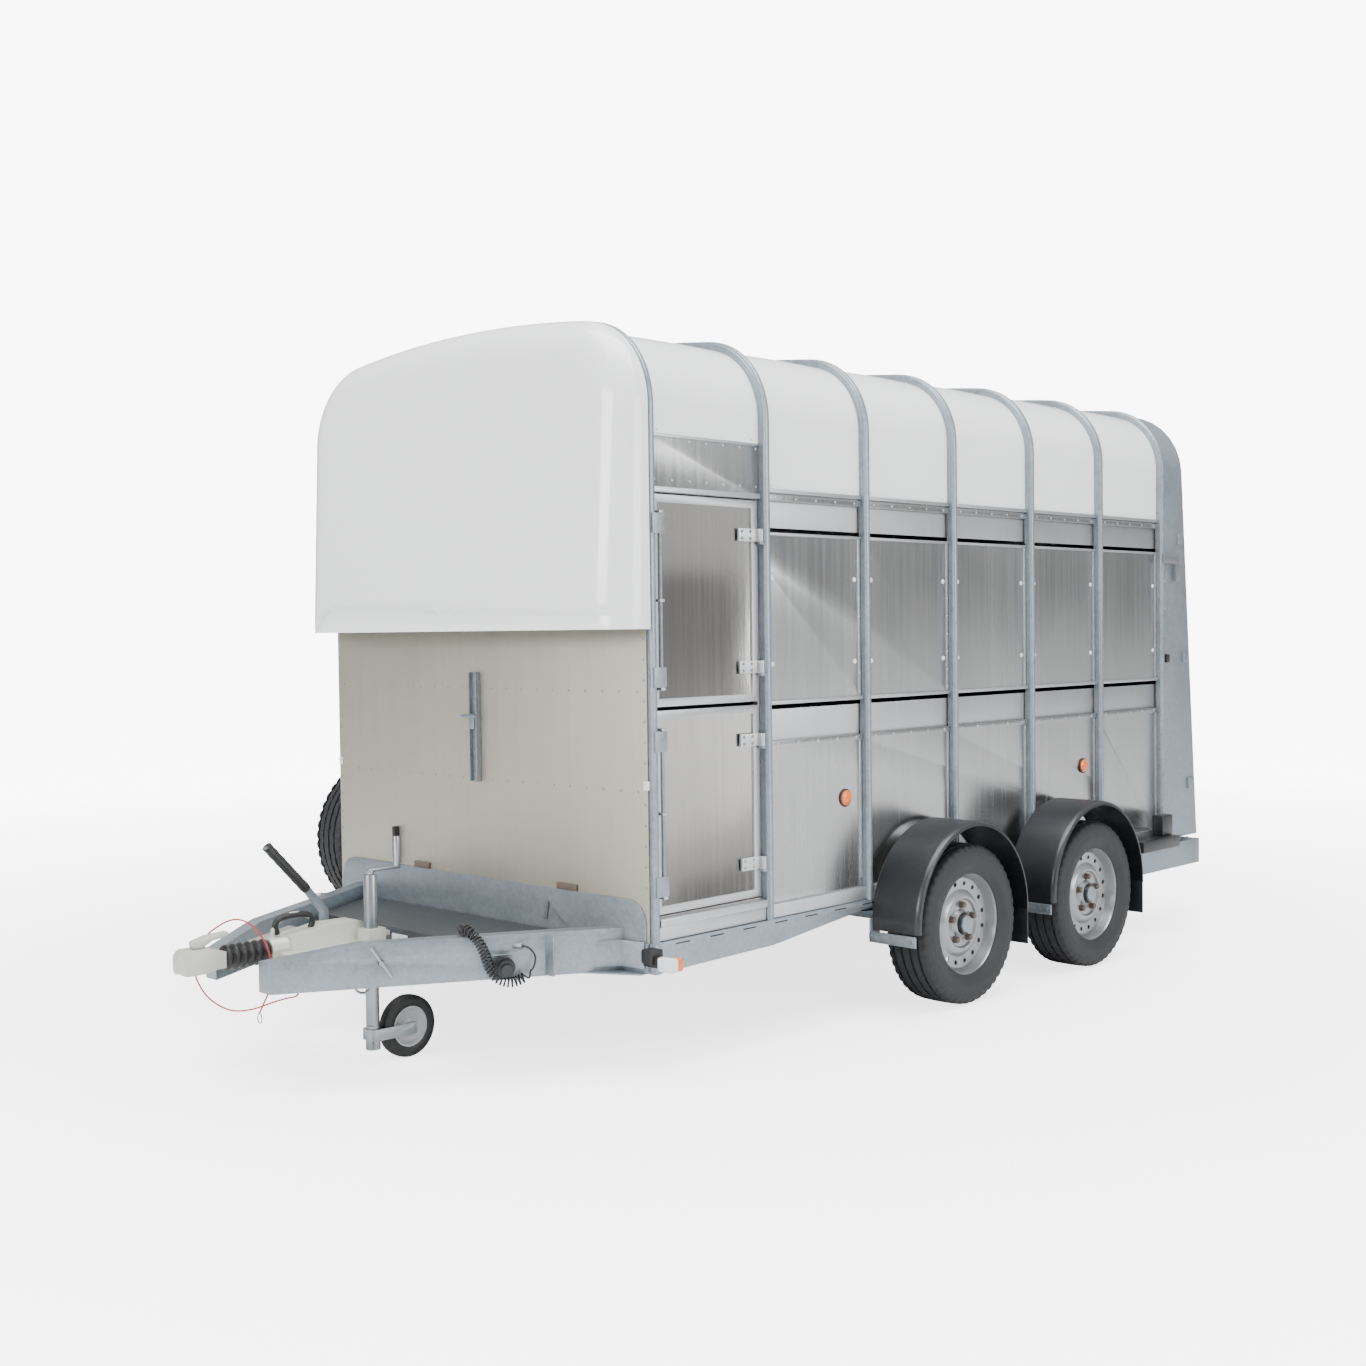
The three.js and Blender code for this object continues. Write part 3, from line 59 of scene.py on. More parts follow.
lens.sensor_width = 36
lens.lens = 42.97
lens.clip_end = 200
camera = bpy.data.objects.new("Camera", lens)
stance = Matrix((right, top, -ahead)).transposed().to_4x4()
camera.matrix_world = Matrix.Translation(eye) @ stance
bpy.context.scene.collection.objects.link(camera)
bpy.context.scene.camera = camera


def soft_lamp(name, place, aim, width, power):
    data = bpy.data.lights.new(name, "AREA")
    data.shape = "RECTANGLE"
    data.size = width
    data.size_y = width * 0.6
    data.energy = power
    lamp = bpy.data.objects.new(name, data)
    lamp.location = place
    lamp.rotation_euler = (Vector(aim) - Vector(place)).to_track_quat("-Z", "Y").to_euler()
    bpy.context.scene.collection.objects.link(lamp)


soft_lamp("Ceiling lamp", (1.5, -1.0, 6.5), (0, 0, 1), 6.0, 620)
soft_lamp("Front lamp", (0.5, -8.5, 3.2), (0, 0, 1.2), 4.0, 420)
soft_lamp("Side lamp", (8.0, 1.5, 2.6), (0, 0.5, 1.1), 4.5, 290)

world = bpy.data.worlds.new("Surround")
bpy.context.scene.world = world
world.use_nodes = True
sky = world.node_tree
sky.nodes.clear()
coords = sky.nodes.new("ShaderNodeTexCoord")
split = sky.nodes.new("ShaderNodeSeparateXYZ")
ramp = sky.nodes.new("ShaderNodeValToRGB")
seen = sky.nodes.new("ShaderNodeLightPath")
lit = sky.nodes.new("ShaderNodeBackground")
backdrop = sky.nodes.new("ShaderNodeBackground")
either = sky.nodes.new("ShaderNodeMixShader")
sky_out = sky.nodes.new("ShaderNodeOutputWorld")
lift = sky.nodes.new("ShaderNodeMath")
lift.operation = "MULTIPLY_ADD"
lift.inputs[1].default_value = 0.5
lift.inputs[2].default_value = 0.5
bands = [(0.0, 0.80), (0.44, 0.78), (0.505, 0.30), (0.56, 0.42), (0.64, 0.95), (1.0, 0.90)]
ramp.color_ramp.elements[0].position = bands[0][0]
ramp.color_ramp.elements[1].position = bands[-1][0]
for where, _ in bands[1:-1]:
    ramp.color_ramp.elements.new(where)
for stop, (_, shade) in zip(ramp.color_ramp.elements, bands):
    stop.color = (shade, shade, shade, 1)
backdrop.inputs["Color"].default_value = (1, 1, 1, 1)
backdrop.inputs["Strength"].default_value = 9.0
lit.inputs["Strength"].default_value = 1.15
sky.links.new(coords.outputs["Generated"], split.inputs[0])
sky.links.new(split.outputs["Z"], lift.inputs[0])
sky.links.new(lift.outputs[0], ramp.inputs["Fac"])
sky.links.new(ramp.outputs["Color"], lit.inputs["Color"])
sky.links.new(seen.outputs["Is Camera Ray"], either.inputs["Fac"])
sky.links.new(lit.outputs[0], either.inputs[1])
sky.links.new(backdrop.outputs[0], either.inputs[2])
sky.links.new(either.outputs[0], sky_out.inputs[0])

floor_mesh = bpy.data.meshes.new("Studio floor")
reach = 60.0
floor_corners = [(-reach, -reach, 0), (reach, -reach, 0), (reach, reach, 0), (-reach, reach, 0)]
floor_mesh.from_pydata(floor_corners, [], [(0, 1, 2, 3)])
studio_floor = bpy.data.objects.new("Studio_floor", floor_mesh)
bpy.context.scene.collection.objects.link(studio_floor)
floor_paint = bpy.data.materials.new("Studio floor")
floor_paint.use_nodes = True
floor_shader = floor_paint.node_tree.nodes["Principled BSDF"]
floor_shader.inputs["Base Color"].default_value = (0.90, 0.90, 0.90, 1)
floor_shader.inputs["Roughness"].default_value = 0.75
floor_shader.inputs["Specular IOR Level"].default_value = 0.1
floor_shader.inputs["Emission Color"].default_value = (1, 1, 1, 1)
floor_nodes, floor_links = floor_paint.node_tree.nodes, floor_paint.node_tree.links
floor_place = floor_nodes.new("ShaderNodeTexCoord")
floor_reach = floor_nodes.new("ShaderNodeVectorMath")
floor_reach.operation = "LENGTH"
floor_fade = floor_nodes.new("ShaderNodeMapRange")
floor_seen = floor_nodes.new("ShaderNodeLightPath")
floor_glow = floor_nodes.new("ShaderNodeMath")
floor_glow.operation = "MULTIPLY"
floor_fade.inputs["From Min"].default_value = 1.5
floor_fade.inputs["From Max"].default_value = 9.0
floor_fade.inputs["To Min"].default_value = 2.6
floor_fade.inputs["To Max"].default_value = 8.2
floor_links.new(floor_place.outputs["Object"], floor_reach.inputs[0])
floor_links.new(floor_reach.outputs["Value"], floor_fade.inputs["Value"])
floor_links.new(floor_fade.outputs["Result"], floor_glow.inputs[0])
floor_links.new(floor_seen.outputs["Is Camera Ray"], floor_glow.inputs[1])
floor_links.new(floor_glow.outputs[0], floor_shader.inputs["Emission Strength"])
floor_mesh.materials.append(floor_paint)


# ---------------------------------------------------------------- breakaway cable
# Thin red-sheathed steel cable. It hangs from the brake relay under the hitch
# casting, loops round the neck of the coupling and ends in a spring clip.
def at(x, y, z):
    """A point whose y is counted from the back of the first hoop, in millimetres."""
    return Vector((x / 1000, (y - 1139) / 1000, z / 1000))


def effect(name, inputs, outputs):
    """An empty shader group with its sockets, and its in and out nodes."""
    tree = bpy.data.node_groups.new(name, "ShaderNodeTree")
    for socket, value in inputs.items():
        made = tree.interface.new_socket(socket, in_out="INPUT", socket_type="NodeSocketFloat")
        made.default_value = value
    for socket in outputs:
        tree.interface.new_socket(socket, in_out="OUTPUT", socket_type="NodeSocketFloat")
    return tree, tree.nodes.new("NodeGroupInput"), tree.nodes.new("NodeGroupOutput")


def noise(tree, scale, detail=3.0, stretch=None):
    """A noise on object coordinates; a stretch lengthens it along the axes."""
    place = tree.nodes.new("ShaderNodeTexCoord")
    cloud = tree.nodes.new("ShaderNodeTexNoise")
    cloud.inputs["Scale"].default_value = scale
    cloud.inputs["Detail"].default_value = detail
    source = place.outputs["Object"]
    if stretch:
        squeeze = tree.nodes.new("ShaderNodeMapping")
        squeeze.inputs["Scale"].default_value = stretch
        tree.links.new(source, squeeze.inputs["Vector"])
        source = squeeze.outputs["Vector"]
    tree.links.new(source, cloud.inputs["Vector"])
    return cloud.outputs["Fac"]


def blendup(tree, parts, start=0.5):
    """start + each (noise - 0.5) times its weight, where a weight may be a socket."""
    total = None
    for source, weight in parts:
        less = tree.nodes.new("ShaderNodeMath")
        less.operation = "SUBTRACT"
        less.inputs[1].default_value = 0.5
        tree.links.new(source, less.inputs[0])
        more = tree.nodes.new("ShaderNodeMath")
        more.operation = "MULTIPLY_ADD"
        tree.links.new(less.outputs[0], more.inputs[0])
        if isinstance(weight, float):
            more.inputs[1].default_value = weight
        else:
            tree.links.new(weight, more.inputs[1])
        if total is None:
            more.inputs[2].default_value = start
        else:
            tree.links.new(total, more.inputs[2])
        total = more.outputs[0]
    return total


# Moulded or sheathed surface: fine tooth, slow tone drift and settled dust.
moulded, moulded_in, moulded_out = effect("Moulded surface", {"Drift": 0.5, "Dust": 0.2}, ["Tone", "Height"])
moulded_parts = [
    (noise(moulded, 2.2), moulded_in.outputs["Drift"]),
    (noise(moulded, 14.0), moulded_in.outputs["Dust"]),
]
moulded.links.new(blendup(moulded, moulded_parts), moulded_out.inputs["Tone"])
moulded.links.new(noise(moulded, 420.0, 2.0), moulded_out.inputs["Height"])


def surface(
    name, colour, roughness, metallic, tree,
    spread=0.12, gloss_spread=0.06, bump=0.0002, coat=0.0, **settings,
):
    """A finish: the effect's tone varies colour and roughness, its height bumps."""
    made = bpy.data.materials.new(name)
    made.use_nodes = True
    made.diffuse_color = (*colour, 1)
    nodes, links = made.node_tree.nodes, made.node_tree.links
    shader = nodes["Principled BSDF"]
    shader.inputs["Metallic"].default_value = metallic
    shader.inputs["Coat Weight"].default_value = coat
    shader.inputs["Coat Roughness"].default_value = 0.08
    group = nodes.new("ShaderNodeGroup")
    group.node_tree = tree
    for socket, value in settings.items():
        group.inputs[socket.replace("_", " ")].default_value = value
    tint = nodes.new("ShaderNodeMix")
    tint.data_type = "RGBA"
    tint.inputs["A"].default_value = (*[c * (1 - spread) for c in colour], 1)
    tint.inputs["B"].default_value = (*[min(1.0, c * (1 + spread)) for c in colour], 1)
    rough = nodes.new("ShaderNodeMapRange")
    rough.inputs["To Min"].default_value = roughness - gloss_spread
    rough.inputs["To Max"].default_value = roughness + gloss_spread
    relief = nodes.new("ShaderNodeBump")
    relief.inputs["Strength"].default_value = 1.0
    relief.inputs["Distance"].default_value = bump
    links.new(group.outputs["Tone"], tint.inputs["Factor"])
    links.new(group.outputs["Tone"], rough.inputs["Value"])
    links.new(group.outputs["Height"], relief.inputs["Height"])
    links.new(tint.outputs["Result"], shader.inputs["Base Color"])
    links.new(rough.outputs["Result"], shader.inputs["Roughness"])
    links.new(relief.outputs["Normal"], shader.inputs["Normal"])
    return made


def hang(piece, body, slot, *stands_for):
    """Fixes a finished piece to its body."""
    if piece.name not in bpy.context.scene.collection.objects:
        bpy.context.scene.collection.objects.link(piece)
    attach(piece, body)
    if stands_for:
        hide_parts(*stands_for)
    return piece


def line_piece(name, points, thickness, paint, sides=3):
    """A round line through points, as one open curve."""
    data = bpy.data.curves.new(name, "CURVE")
    data.dimensions = "3D"
    data.bevel_depth = thickness / 2
    data.bevel_resolution = sides
    data.use_fill_caps = True
    run = data.splines.new("POLY")
    run.points.add(len(points) - 1)
    for spot, point in zip(run.points, points):
        spot.co = (*point, 1)
    data.materials.append(paint)
    return bpy.data.objects.new(name, data)


def smooth_line(points, per_span):
    """Points along a smooth curve through the given ones."""
    padded = [points[0] * 2 - points[1], *points, points[-1] * 2 - points[-2]]
    line = []
    for a, b, c, d in zip(padded, padded[1:], padded[2:], padded[3:]):
        for i in range(per_span):
            t = i / per_span
            bend = (2 * a - 5 * b + 4 * c - d) * t * t
            turn_in = (3 * b - a - 3 * c + d) * t ** 3
            line.append(0.5 * (2 * b + (c - a) * t + bend + turn_in))
    return [*line, points[-1]]


red_sheath = surface("Red sheath", (0.42, 0.012, 0.022), 0.38, 0.0, moulded, bump=0.00005, coat=0.2)
CABLE_THICKNESS = 0.005
cable_route = [
    (30, -757, 257.6), (30, -757.5, 252), (29, -768, 246), (26, -796, 245), (20, -834, 240), (0, -899, 226),
    (-20, -957, 232), (-42, -1009, 271), (-55, -1039, 326), (-60, -1042, 362), (-62, -1030, 415),
    (-60, -1014, 440), (-54, -996, 462), (-43, -971, 480), (-28, -952, 492), (-10, -930, 496),
    (10, -906, 484), (32, -889, 458), (46, -877, 430), (55, -868, 398), (58, -866, 364),
    (58, -867, 333), (54, -871, 284), (48, -884, 250), (40, -894, 222),
]
cable_line = smooth_line([at(*point) for point in cable_route], 6)
cable = line_piece("Breakaway_cable", cable_line, CABLE_THICKNESS, red_sheath)
hang(cable, "chassis", "red_cable", "breakaway_cable")


def join_pieces(name, pieces):
    """Several meshes made into one."""
    whole = bmesh.new()
    for piece in pieces:
        whole.from_mesh(piece)
        bpy.data.meshes.remove(piece)
    mesh = bpy.data.meshes.new(name)
    whole.to_mesh(mesh)
    whole.free()
    return mesh


def pipe_mesh(points, radius, sides=10):
    """A round tube along points, closed at its ends."""
    build = bmesh.new()
    loops = []
    lean = None
    for i, point in enumerate(points):
        ahead_of = points[min(i + 1, len(points) - 1)] - points[max(i - 1, 0)]
        along = ahead_of.normalized()
        if lean is None:
            lean = along.orthogonal().normalized()
        lean = (lean - along * lean.dot(along)).normalized()
        across = along.cross(lean)
        size = radius[i] if isinstance(radius, list) else radius
        loop = []
        for k in range(sides):
            a = math.tau * k / sides
            loop.append(build.verts.new(point + lean * size * math.cos(a) + across * size * math.sin(a)))
        loops.append(loop)
    for lower, upper in zip(loops, loops[1:]):
        for k in range(sides):
            build.faces.new((lower[k], lower[(k + 1) % sides], upper[(k + 1) % sides], upper[k]))
    build.faces.new(loops[0][::-1])
    build.faces.new(loops[-1])
    bmesh.ops.recalc_face_normals(build, faces=build.faces)
    mesh = bpy.data.meshes.new("pipe")
    build.to_mesh(mesh)
    build.free()
    return mesh


def finish_mesh(mesh, paint, crease=35):
    """Paints a mesh and keeps only its real edges sharp."""
    mesh.materials.clear()
    mesh.materials.append(paint)
    mesh.shade_smooth()
    mesh.set_sharp_from_angle(angle=math.radians(crease))
    return mesh


def mesh_piece(name, mesh, paint, crease=35):
    return bpy.data.objects.new(name, finish_mesh(mesh, paint, crease))


# Dull zinc: crystals a few millimetres across, darker runs and a soft dusty bloom.
zinc, zinc_in, zinc_out = effect("Hot dip zinc", {"Crystal": 0.35, "Bloom": 0.8}, ["Tone", "Height"])
zinc_place = zinc.nodes.new("ShaderNodeTexCoord")
crystal = zinc.nodes.new("ShaderNodeTexVoronoi")
crystal.inputs["Scale"].default_value = 95.0
crystal_tone = zinc.nodes.new("ShaderNodeSeparateColor")
zinc.links.new(zinc_place.outputs["Object"], crystal.inputs["Vector"])
zinc.links.new(crystal.outputs["Color"], crystal_tone.inputs[0])
zinc_parts = [
    (crystal_tone.outputs[0], zinc_in.outputs["Crystal"]),
    (noise(zinc, 4.0, 4.0), zinc_in.outputs["Bloom"]),
    (noise(zinc, 22.0, 5.0), zinc_in.outputs["Crystal"]),
]
zinc.links.new(blendup(zinc, zinc_parts), zinc_out.inputs["Tone"])
zinc.links.new(noise(zinc, 60.0, 3.0), zinc_out.inputs["Height"])

zinc_plate = surface("Galvanised steel", (0.265, 0.305, 0.34), 0.42, 0.75, zinc, 0.22, 0.10, 0.0006)
zinc_fresh = surface("Bright zinc", (0.34, 0.37, 0.39), 0.30, 0.9, zinc, 0.10, 0.06, 0.0002, Crystal=0.15)
clip_points = []
for i in range(20):
    a = i * math.tau / 20
    round_clip = Vector((0.011 * math.sin(a), 0, -0.016 + 0.015 * math.cos(a)))
    clip_points.append(at(*cable_route[-1]) + round_clip)
clip_ring = mesh_piece("Cable_clip", pipe_mesh([*clip_points, clip_points[0]], 0.0018, 8), zinc_fresh)
hang(clip_ring, "chassis", "galvanised")

# ---------------------------------------------------------------- curly lead
# Seven-core lighting lead with a black sheath, wound into a tight spring. It
# leaves a gland on the left arm, loops, and runs over the arm to the tool box.
black_sheath = surface("Black sheath", (0.008, 0.0085, 0.0095), 0.42, 0.0, moulded, bump=0.0001, coat=0.1)
lead_route = [
    (556, -322, 399), (568, -318, 399), (580, -308, 388), (584, -297, 366), (578, -299, 338),
    (568, -312, 316), (553, -336, 300), (538, -361, 296), (520, -391, 310), (510, -409, 341),
    (504, -420, 378), (496, -434, 414), (482, -448, 440), (458, -452, 453), (430, -442, 453),
    (404, -424, 446), (386, -400, 426), (372, -378, 411), (370, -362, 406.5), (370, -348, 406.5),
]
LEAD_THICKNESS = 0.0058
LEAD_COIL = 0.0136
LEAD_PITCH = 0.0108
PLAIN_STEPS = 42
TAPER_IN = 14
TAPER_OUT = 26
core_line = smooth_line([at(*point) for point in lead_route], 10)
lead_line = []
swing = 0.0
side_way = Vector((0, 0, 1))
last = len(core_line) - 1
for i, point in enumerate(core_line[:-1]):
    step = core_line[i + 1] - point
    along = step.normalized()
    side_way = (side_way - along * side_way.dot(along)).normalized()
    coiled = i >= PLAIN_STEPS
    pieces = max(2, int(step.length / LEAD_PITCH * 18) + 1) if coiled else 1
    for k in range(pieces):
        where = i + k / pieces
        opening = min(max((where - PLAIN_STEPS) / TAPER_IN, 0), 1)
        rise = opening * min(max((last - 1 - where) / TAPER_OUT, 0), 1)
        radius = LEAD_COIL * rise * rise * (3 - 2 * rise)
        outward = side_way * math.cos(swing) + along.cross(side_way) * math.sin(swing)
        lead_line.append(point + step * (k / pieces) + outward * radius)
        opened = math.tau * math.sqrt(max(radius * (LEAD_COIL - radius), 0))
        swing += math.tau * step.length / pieces / max(LEAD_PITCH, opened) if coiled else 0
lead_line.append(core_line[-1])
lead = line_piece("Curly_lead", lead_line, LEAD_THICKNESS, black_sheath, 2)
hang(lead, "chassis", "black_plastic", "lead_coil")

# ---------------------------------------------------------------- chassis
# Folded and welded steel rails, cross members and front plate, hot dip galvanised
# as one. A row of slots runs along the rails just under the deck, each drawn as a thin near-black bar of
# painted shade for the shadow inside it.
def eased(build, width, crease=32):
    """Softens every real edge of a mesh by a small rounding."""
    bmesh.ops.remove_doubles(build, verts=build.verts, dist=0.00002)
    bmesh.ops.dissolve_limit(build, angle_limit=math.radians(0.5), verts=build.verts, edges=build.edges)
    least = math.radians(crease)
    sharp = [edge for edge in build.edges if edge.is_manifold and edge.calc_face_angle() > least]
    bmesh.ops.bevel(
        build, geom=sharp, offset=width / 1000, offset_type="OFFSET", segments=2,
        profile=0.6, affect="EDGES", clamp_overlap=True,
    )


def mesh_from(build, name="part"):
    mesh = bpy.data.meshes.new(name)
    build.to_mesh(mesh)
    build.free()
    return mesh


def softened(node, width):
    """The frame's own piece with its edges eased."""
    build = bmesh.new()
    build.from_mesh(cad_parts[node].data)
    eased(build, width)
    return mesh_from(build, node)


def bar(x0, x1, y0, y1, z0, z1, ease=1.5):
    """A folded bar or plate with eased edges, in millimetres."""
    low, high = at(min(x0, x1), y0, z0), at(max(x0, x1), y1, z1)
    build = bmesh.new()
    bmesh.ops.create_cube(build, size=1)
    middle, size = (low + high) / 2, high - low
    for corner in build.verts:
        corner.co = middle + Vector((corner.co.x * size.x, corner.co.y * size.y, corner.co.z * size.z))
    if ease:
        bmesh.ops.bevel(
            build, geom=build.edges[:], offset=ease / 1000, offset_type="OFFSET", segments=2,
            profile=0.6, affect="EDGES", clamp_overlap=True,
        )
    return mesh_from(build)


def across_axis(axis, along, first, second):
    """(x, y, z) from a distance along one axis and two places across it."""
    spot = [first, second]
    spot.insert("xyz".index(axis), along)
    return spot


def plate(outline, axis, low, high, ease=1.0):
    """A flat outline in the other two axes, given thickness along one."""
    build = bmesh.new()
    loops = []
    for layer in (low, high):
        loops.append([build.verts.new(at(*across_axis(axis, layer, a, b))) for a, b in outline])
    build.faces.new(loops[0])
    build.faces.new(loops[1])
    count = len(outline)
    for k in range(count):
        build.faces.new((loops[0][k], loops[0][(k + 1) % count], loops[1][(k + 1) % count], loops[1][k]))
    bmesh.ops.recalc_face_normals(build, faces=build.faces)
    if ease:
        eased(build, ease, 50)
    return mesh_from(build)


def rod(start, end, radius, sides=14):
    return pipe_mesh([at(*start), at(*end)], radius / 1000, sides)


def turned(profile, centre, axis, steps=48):
    """Turns a closed outline of (distance along the axis, radius) about it."""
    build = bmesh.new()
    loops = []
    for i in range(steps):
        a = math.tau * i / steps
        loop = []
        for d, r in profile:
            reached = Vector(across_axis(axis, d, r * math.cos(a), r * math.sin(a)))
            loop.append(build.verts.new(at(*centre) + reached / 1000))
        loops.append(loop)
    count = len(profile)
    for i in range(steps):
        one, two = loops[i], loops[(i + 1) % steps]
        for k in range(count):
            build.faces.new((one[k], one[(k + 1) % count], two[(k + 1) % count], two[k]))
    bmesh.ops.remove_doubles(build, verts=build.verts, dist=0.000005)
    bmesh.ops.recalc_face_normals(build, faces=build.faces)
    return mesh_from(build)


# Painted shade: a near-black matte finish that stands for the shadow inside the rail slots.
slot_painted_shade = surface("Shadowed opening", (0.012, 0.013, 0.014), 0.8, 0.0, moulded, bump=0.0001)
rails = mesh_piece("Chassis", softened("chassis_frame", 1.2), zinc_plate)
hang(rails, "chassis", "galvanised", "chassis_frame")
# The slots are thin near-black bars set on the rail face, painted shade rather than real openings.
SLOT_PITCH = 152
SLOT_LENGTH = 62
slots = []
for side in (-1, 1):
    for i in range(22):
        y = 60 + i * SLOT_PITCH
        slots.append(bar(side * 815.7, side * 816.4, y, y + SLOT_LENGTH, 381, 385, 0))
hang(mesh_piece("Rail_slots", join_pieces("Rail slots", slots), slot_painted_shade), "chassis", "black_plastic")
brackets = []
corner_web = [
    (578, -226), (640, -120), (700, -52), (786, -42), (786, -46), (704, -60), (646, -126), (584, -232),
]
corner_gusset = [(560, -248), (660, -42), (786, -42), (786, -60), (628, -150)]
for side in (-1, 1):
    brackets.append(plate([(side * x, y) for x, y in corner_web], "z", 318, 398))
    brackets.append(plate([(side * x, y) for x, y in corner_gusset], "z", 300, 305))
    brackets.append(bar(side * 560, side * 614, -252, -246, 304, 428))
    brackets.append(bar(side * 790, side * 818, -27, -3, 300, 392))
    brackets.append(bar(side * 742, side * 817, 3368, 3374, 264, 362))
corner_brackets = mesh_piece("Corner_brackets", join_pieces("Corner brackets", brackets), zinc_plate)
hang(corner_brackets, "chassis", "galvanised")
hook_outline = [(330, 418), (344, 494), (356, 494), (432, 418), (414, 418), (356, 474), (346, 418)]
hook = plate(hook_outline, "y", -45, -40.2, 1.5)
hang(mesh_piece("Plate_hook", hook, zinc_plate), "chassis", "galvanised")

# ---------------------------------------------------------------- drawbar
# Two deep folded arms that run in to the hitch, galvanised with the chassis. The
# left one carries the lighting plug in its holder.
for side in ("left", "right"):
    arm = mesh_piece(f"Drawbar_{side}", softened(f"drawbar_{side}", 2.5), zinc_plate)
    hang(arm, "chassis", "galvanised", f"drawbar_{side}")
black_plastic = surface("Black plastic", (0.009, 0.010, 0.0115), 0.38, 0.0, moulded, bump=0.0002, coat=0.15)
arm_run = Vector((0.4997, 0.8662, 0))
arm_out = Vector((0.8662, -0.4997, 0))
holder_spot = at(541, -361, 0)


def on_arm(along, out, z):
    """A point counted along and out from the left arm's plug holder."""
    return holder_spot + (arm_run * along + arm_out * out) / 1000 + Vector((0, 0, z / 1000))


plug = [
    pipe_mesh([on_arm(-14, -2, 342), on_arm(-14, 12, 342)], 0.030, 28),
    pipe_mesh([on_arm(-14, 10, 342), on_arm(-14, 34, 342)], 0.024, 28),
    pipe_mesh([on_arm(-14, 30, 342), on_arm(-14, 44, 340)], 0.017, 20),
]
hang(mesh_piece("Plug_and_holder", join_pieces("Plug", plug), black_plastic), "chassis", "black_plastic")
holder = [pipe_mesh([on_arm(-52, -1, z), on_arm(22, -1, z)], 0.0022, 8) for z in (378, 306)]
hang(mesh_piece("Plug_bracket", join_pieces("Plug bracket", holder), zinc_fresh), "chassis", "galvanised")

# ---------------------------------------------------------------- hoops
# Seven rolled steel hoops, a ribbed channel bent at both shoulders and slightly
# cambered over the roof, galvanised before the sheets were fixed between them.
HOOP_HALF_WIDTH = 818
HOOP_FOOT = 394.3
SHOULDER_Z = 1995.8
SHOULDER_RADIUS = 276
SHOULDER_TURN = 83
CROWN_RADIUS = 4723.4
CROWN_CENTRE_Z = -2418.4
BAY = 518
HOOP_WIDTH = 30


def arch(inset, foot=HOOP_FOOT, side=8):
    """Points across the body at an inset, left foot to right foot, as (x, z)."""
    half = [(HOOP_HALF_WIDTH - inset, foot + (SHOULDER_Z - foot) * k / side) for k in range(side)]
    bend = SHOULDER_RADIUS - inset
    for k in range(19):
        a = math.radians(SHOULDER_TURN) * k / 18
        x = HOOP_HALF_WIDTH - SHOULDER_RADIUS + bend * math.cos(a)
        half.append((x, SHOULDER_Z + bend * math.sin(a)))
    bend = CROWN_RADIUS - inset
    for k in range(1, 13):
        a = math.radians(SHOULDER_TURN + (90 - SHOULDER_TURN) * k / 12)
        half.append((bend * math.cos(a), CROWN_CENTRE_Z + bend * math.sin(a)))
    return half + [(-x, z) for x, z in half[-2::-1]]


def lofted(profile):
    """A closed (y, inset) section carried over the arch."""
    build = bmesh.new()
    lines = [[build.verts.new(at(x, y, z)) for x, z in arch(inset)] for y, inset in profile]
    for one, two in zip(lines, [*lines[1:], lines[0]]):
        for a, b, c, d in zip(one, one[1:], two[1:], two):
            build.faces.new((a, b, c, d))
    build.faces.new([line[0] for line in lines])
    build.faces.new([line[-1] for line in lines])
    bmesh.ops.recalc_face_normals(build, faces=build.faces)
    return mesh_from(build)


hoop_section = [
    (0, 28), (0, 9), (1.5, 7.6), (4, 7.4), (5, 4.5), (7, 1.6), (10, 0.2), (15, 0), (20, 0.2),
    (23, 1.6), (25, 4.5), (26, 7.4), (28.5, 7.6), (30, 9), (30, 28),
]
for i in range(7):
    hoop = [lofted([(i * BAY - HOOP_WIDTH + y, inset) for y, inset in hoop_section])]
    if i == 1:
        for z in (1208, 1626, 582, 976):
            hoop.append(bar(797.7, 812.7, 469, 492, z - 29, z - 20.5, 1))
            hoop.append(rod((805.7, 477, z - 28), (805.7, 477, z + 20), 5))
    piece = mesh_piece(f"Hoop_{i + 1}", join_pieces("Hoop", hoop), zinc_plate, 28)
    hang(piece, "chassis", "galvanised", f"hoop_{i + 1}")

# ---------------------------------------------------------------- side panels
# Thin mill-finish aluminium sheets riveted between the hoops, rolled with a faint
# upright grain and never quite flat, with folded ledges over the vents.
brushed_inputs = {"Grain": 0.012, "Ripple": 1.0, "Cast": 1.1}
brushed, brushed_in, brushed_out = effect("Rolled aluminium", brushed_inputs, ["Tone", "Height"])
brushed_tone = [
    (noise(brushed, 1.1, 2.0, (1, 1.6, 0.7)), brushed_in.outputs["Cast"]),
    (noise(brushed, 60.0, 4.0, (1, 1, 0.02)), brushed_in.outputs["Cast"]),
]
brushed.links.new(blendup(brushed, brushed_tone), brushed_out.inputs["Tone"])
brushed_height = [
    (noise(brushed, 2.3, 1.0), brushed_in.outputs["Ripple"]),
    (noise(brushed, 420.0, 2.0, (1, 1, 0.03)), brushed_in.outputs["Grain"]),
]
brushed.links.new(blendup(brushed, brushed_height), brushed_out.inputs["Height"])
sheet_metal = surface("Mill aluminium", (0.43, 0.435, 0.44), 0.25, 1.0, brushed, 0.14, 0.05, 0.004)
folded_metal = surface("Folded aluminium", (0.50, 0.515, 0.53), 0.42, 1.0, brushed, 0.08, 0.05, 0.001)
for side in ("left", "right"):
    panel = mesh_piece(f"Side_panel_{side}", softened(f"side_panel_{side}", 0.4), sheet_metal)
    hang(panel, "chassis", "aluminium", f"side_panel_{side}")
SHEET_FACE = 789.5
strips = []
sills = []
